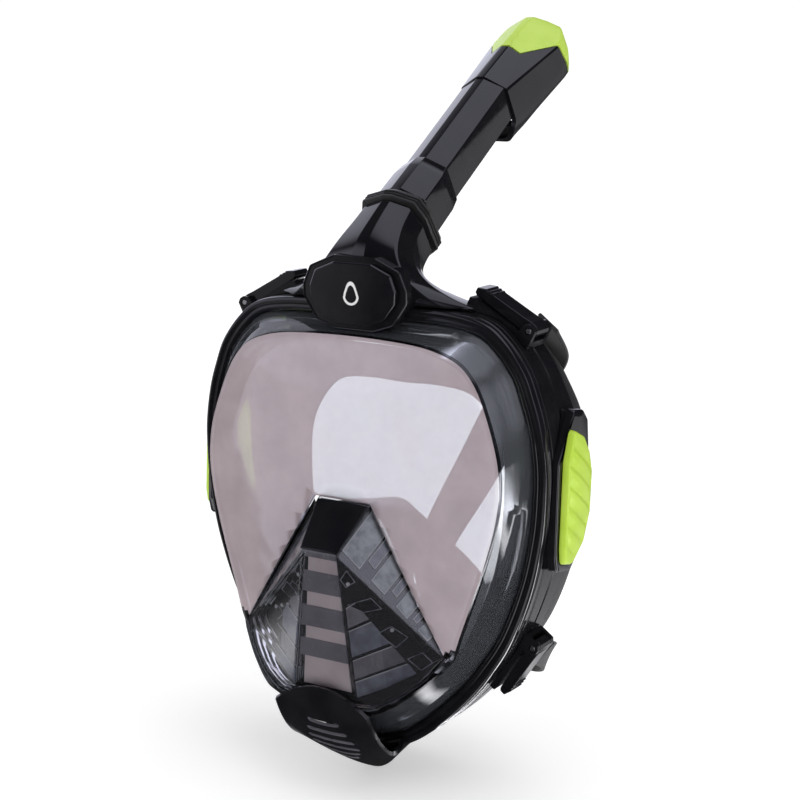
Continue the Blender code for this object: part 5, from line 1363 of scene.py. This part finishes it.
# what glossy rays see of the floor: (azimuth in degrees, brightness), a few light panels
GLOSS_FLOOR = [
    (-180, 0.02), (-156, 0.01), (-151, 0.22), (-148, 0.22), (-144, 0.02), (-126, 0.04),
    (-122.6, 0.03), (-121.8, 0.002), (-100, 0.002), (-70, 0.003), (-50, 0.003), (-44, 0.30),
    (-40, 0.30), (-34, 0.005), (-7, 0.005), (-4, 0.9), (-1, 0.9), (2, 0.01), (12, 0.01),
    (14, 0.7), (16, 0.7), (20, 0.01), (34, 0.01), (38, 0.10), (46, 0.06), (62, 0.05), (80, 0.01),
    (108, 0.01), (120, 0.2), (135, 0.2), (146, 0.02), (180, 0.02)]
floor_mesh = bpy.data.meshes.new("studio_floor")
floor_mesh.from_pydata([(x * FLOOR_HALF, y * FLOOR_HALF, FLOOR_Z)
                        for x, y in ((-1, -1), (1, -1), (1, 1), (-1, 1))], [], [(0, 1, 2, 3)])
floor = bpy.data.objects.new("studio_floor", floor_mesh)
bpy.context.scene.collection.objects.link(floor)
floor_material = bpy.data.materials.new("studio_floor")
nodes = Nodes(floor_material)
out = nodes.add("OutputMaterial")
diffuse = nodes.add("BsdfDiffuse", {"Color": (0.86, 0.86, 0.87, 1)})
glow = nodes.add("Emission", {"Color": (1, 1, 1, 1), "Strength": 0.42})
plain = nodes.add("AddShader", {0: diffuse.outputs[0], 1: glow.outputs[0]})
split = nodes.add("SeparateXYZ", {0: nodes.add("NewGeometry").outputs["Position"]})
azimuth = nodes.math("ARCTAN2", split.outputs["Y"], split.outputs["X"])
panels = nodes.add("ValToRGB", {0: nodes.ramp(azimuth, -math.pi, math.pi, 0, 1, "LINEAR")})
stops = panels.color_ramp.elements
while len(stops) > 1:
    stops.remove(stops[0])
stops[0].position = 0.0
stops[0].color = (GLOSS_FLOOR[0][1],) * 3 + (1,)
for degrees, value in GLOSS_FLOOR[1:]:
    stops.new((degrees + 180) / 360).color = (value, value, value * 1.04, 1)
mirror = nodes.add("Emission", {"Color": panels.outputs[0], "Strength": 10.0})
glossy = nodes.add("LightPath").outputs["Is Glossy Ray"]
mixed = nodes.add("MixShader", {0: glossy, 1: plain.outputs[0], 2: mirror.outputs[0]})
nodes.feed(out, {0: mixed.outputs[0]})
floor_mesh.materials.append(floor_material)

# ---------------------------------------------------------------- world
SOFT_LIGHTS = (  # direction, degrees where it is full, degrees where it is gone, strength
    ((0.284, 0.094, 0.951), 24, 34, 1.2), ((-0.794, 0.576, 0.25), 24, 44, 1.05),
    ((-0.75, -0.62, 0.35), 18, 34, 1.0), ((0.85, -0.45, 0.35), 10, 30, 1.2))
studio = bpy.data.worlds.new("studio")
bpy.context.scene.world = studio
nodes = Nodes(studio)
out = nodes.add("OutputWorld")
sky = nodes.add("TexCoord").outputs["Generated"]
terms = []
for direction, full, gone, strength in SOFT_LIGHTS:
    dot = nodes.add("VectorMath", {0: sky, 1: Vector(direction).normalized()},
                    operation="DOT_PRODUCT").outputs["Value"]
    terms.append(nodes.ramp(dot, math.cos(math.radians(gone)), math.cos(math.radians(full)),
                            0.0, strength))
total = terms[0]
for term in terms[1:]:
    total = nodes.math("ADD", total, term)
rays = nodes.add("LightPath").outputs
# the dim sky between the lights is darker and cooler in reflections
glossy = rays["Is Glossy Ray"]
total = nodes.math("ADD", total, nodes.ramp(glossy, 0, 1, 0.30, 0.03, "LINEAR"))
lit = nodes.add("Background", {"Strength": total})
plain = nodes.add("Background", {"Strength": 1.05, "Color": (1, 1, 1, 1)})
cool = nodes.add("CombineColor", {
    channel: nodes.ramp(glossy, 0, 1, 1.0, tint, "LINEAR")
    for channel, tint in (("Red", 0.93), ("Green", 0.94), ("Blue", 1.10))})
nodes.feed(lit, {"Color": cool.outputs[0]})
mixed = nodes.add("MixShader", {
    0: rays["Is Camera Ray"], 1: lit.outputs[0], 2: plain.outputs[0]})
nodes.feed(out, {0: mixed.outputs[0]})

# ---------------------------------------------------------------- camera and render
camera_data = bpy.data.cameras.new("camera")
camera_data.lens, camera_data.sensor_width = 83.25, 36.0
camera = bpy.data.objects.new("camera", camera_data)
bpy.context.scene.collection.objects.link(camera)
right = Vector((0.848048, 0.529919, 0))
up = Vector((-0.110177, 0.176319, 0.978148))
backward = Vector((0.518339, -0.829516, 0.207912))
pose = Matrix((right, up, backward)).transposed().to_4x4()
pose.translation = world((477.619, -720.774, 214.217))
camera.matrix_world = pose
scene = bpy.context.scene
scene.camera = camera
scene.view_settings.view_transform = "Standard"
scene.view_settings.look = "None"
scene.cycles.transparent_max_bounces = 32
scene.cycles.max_bounces = 12
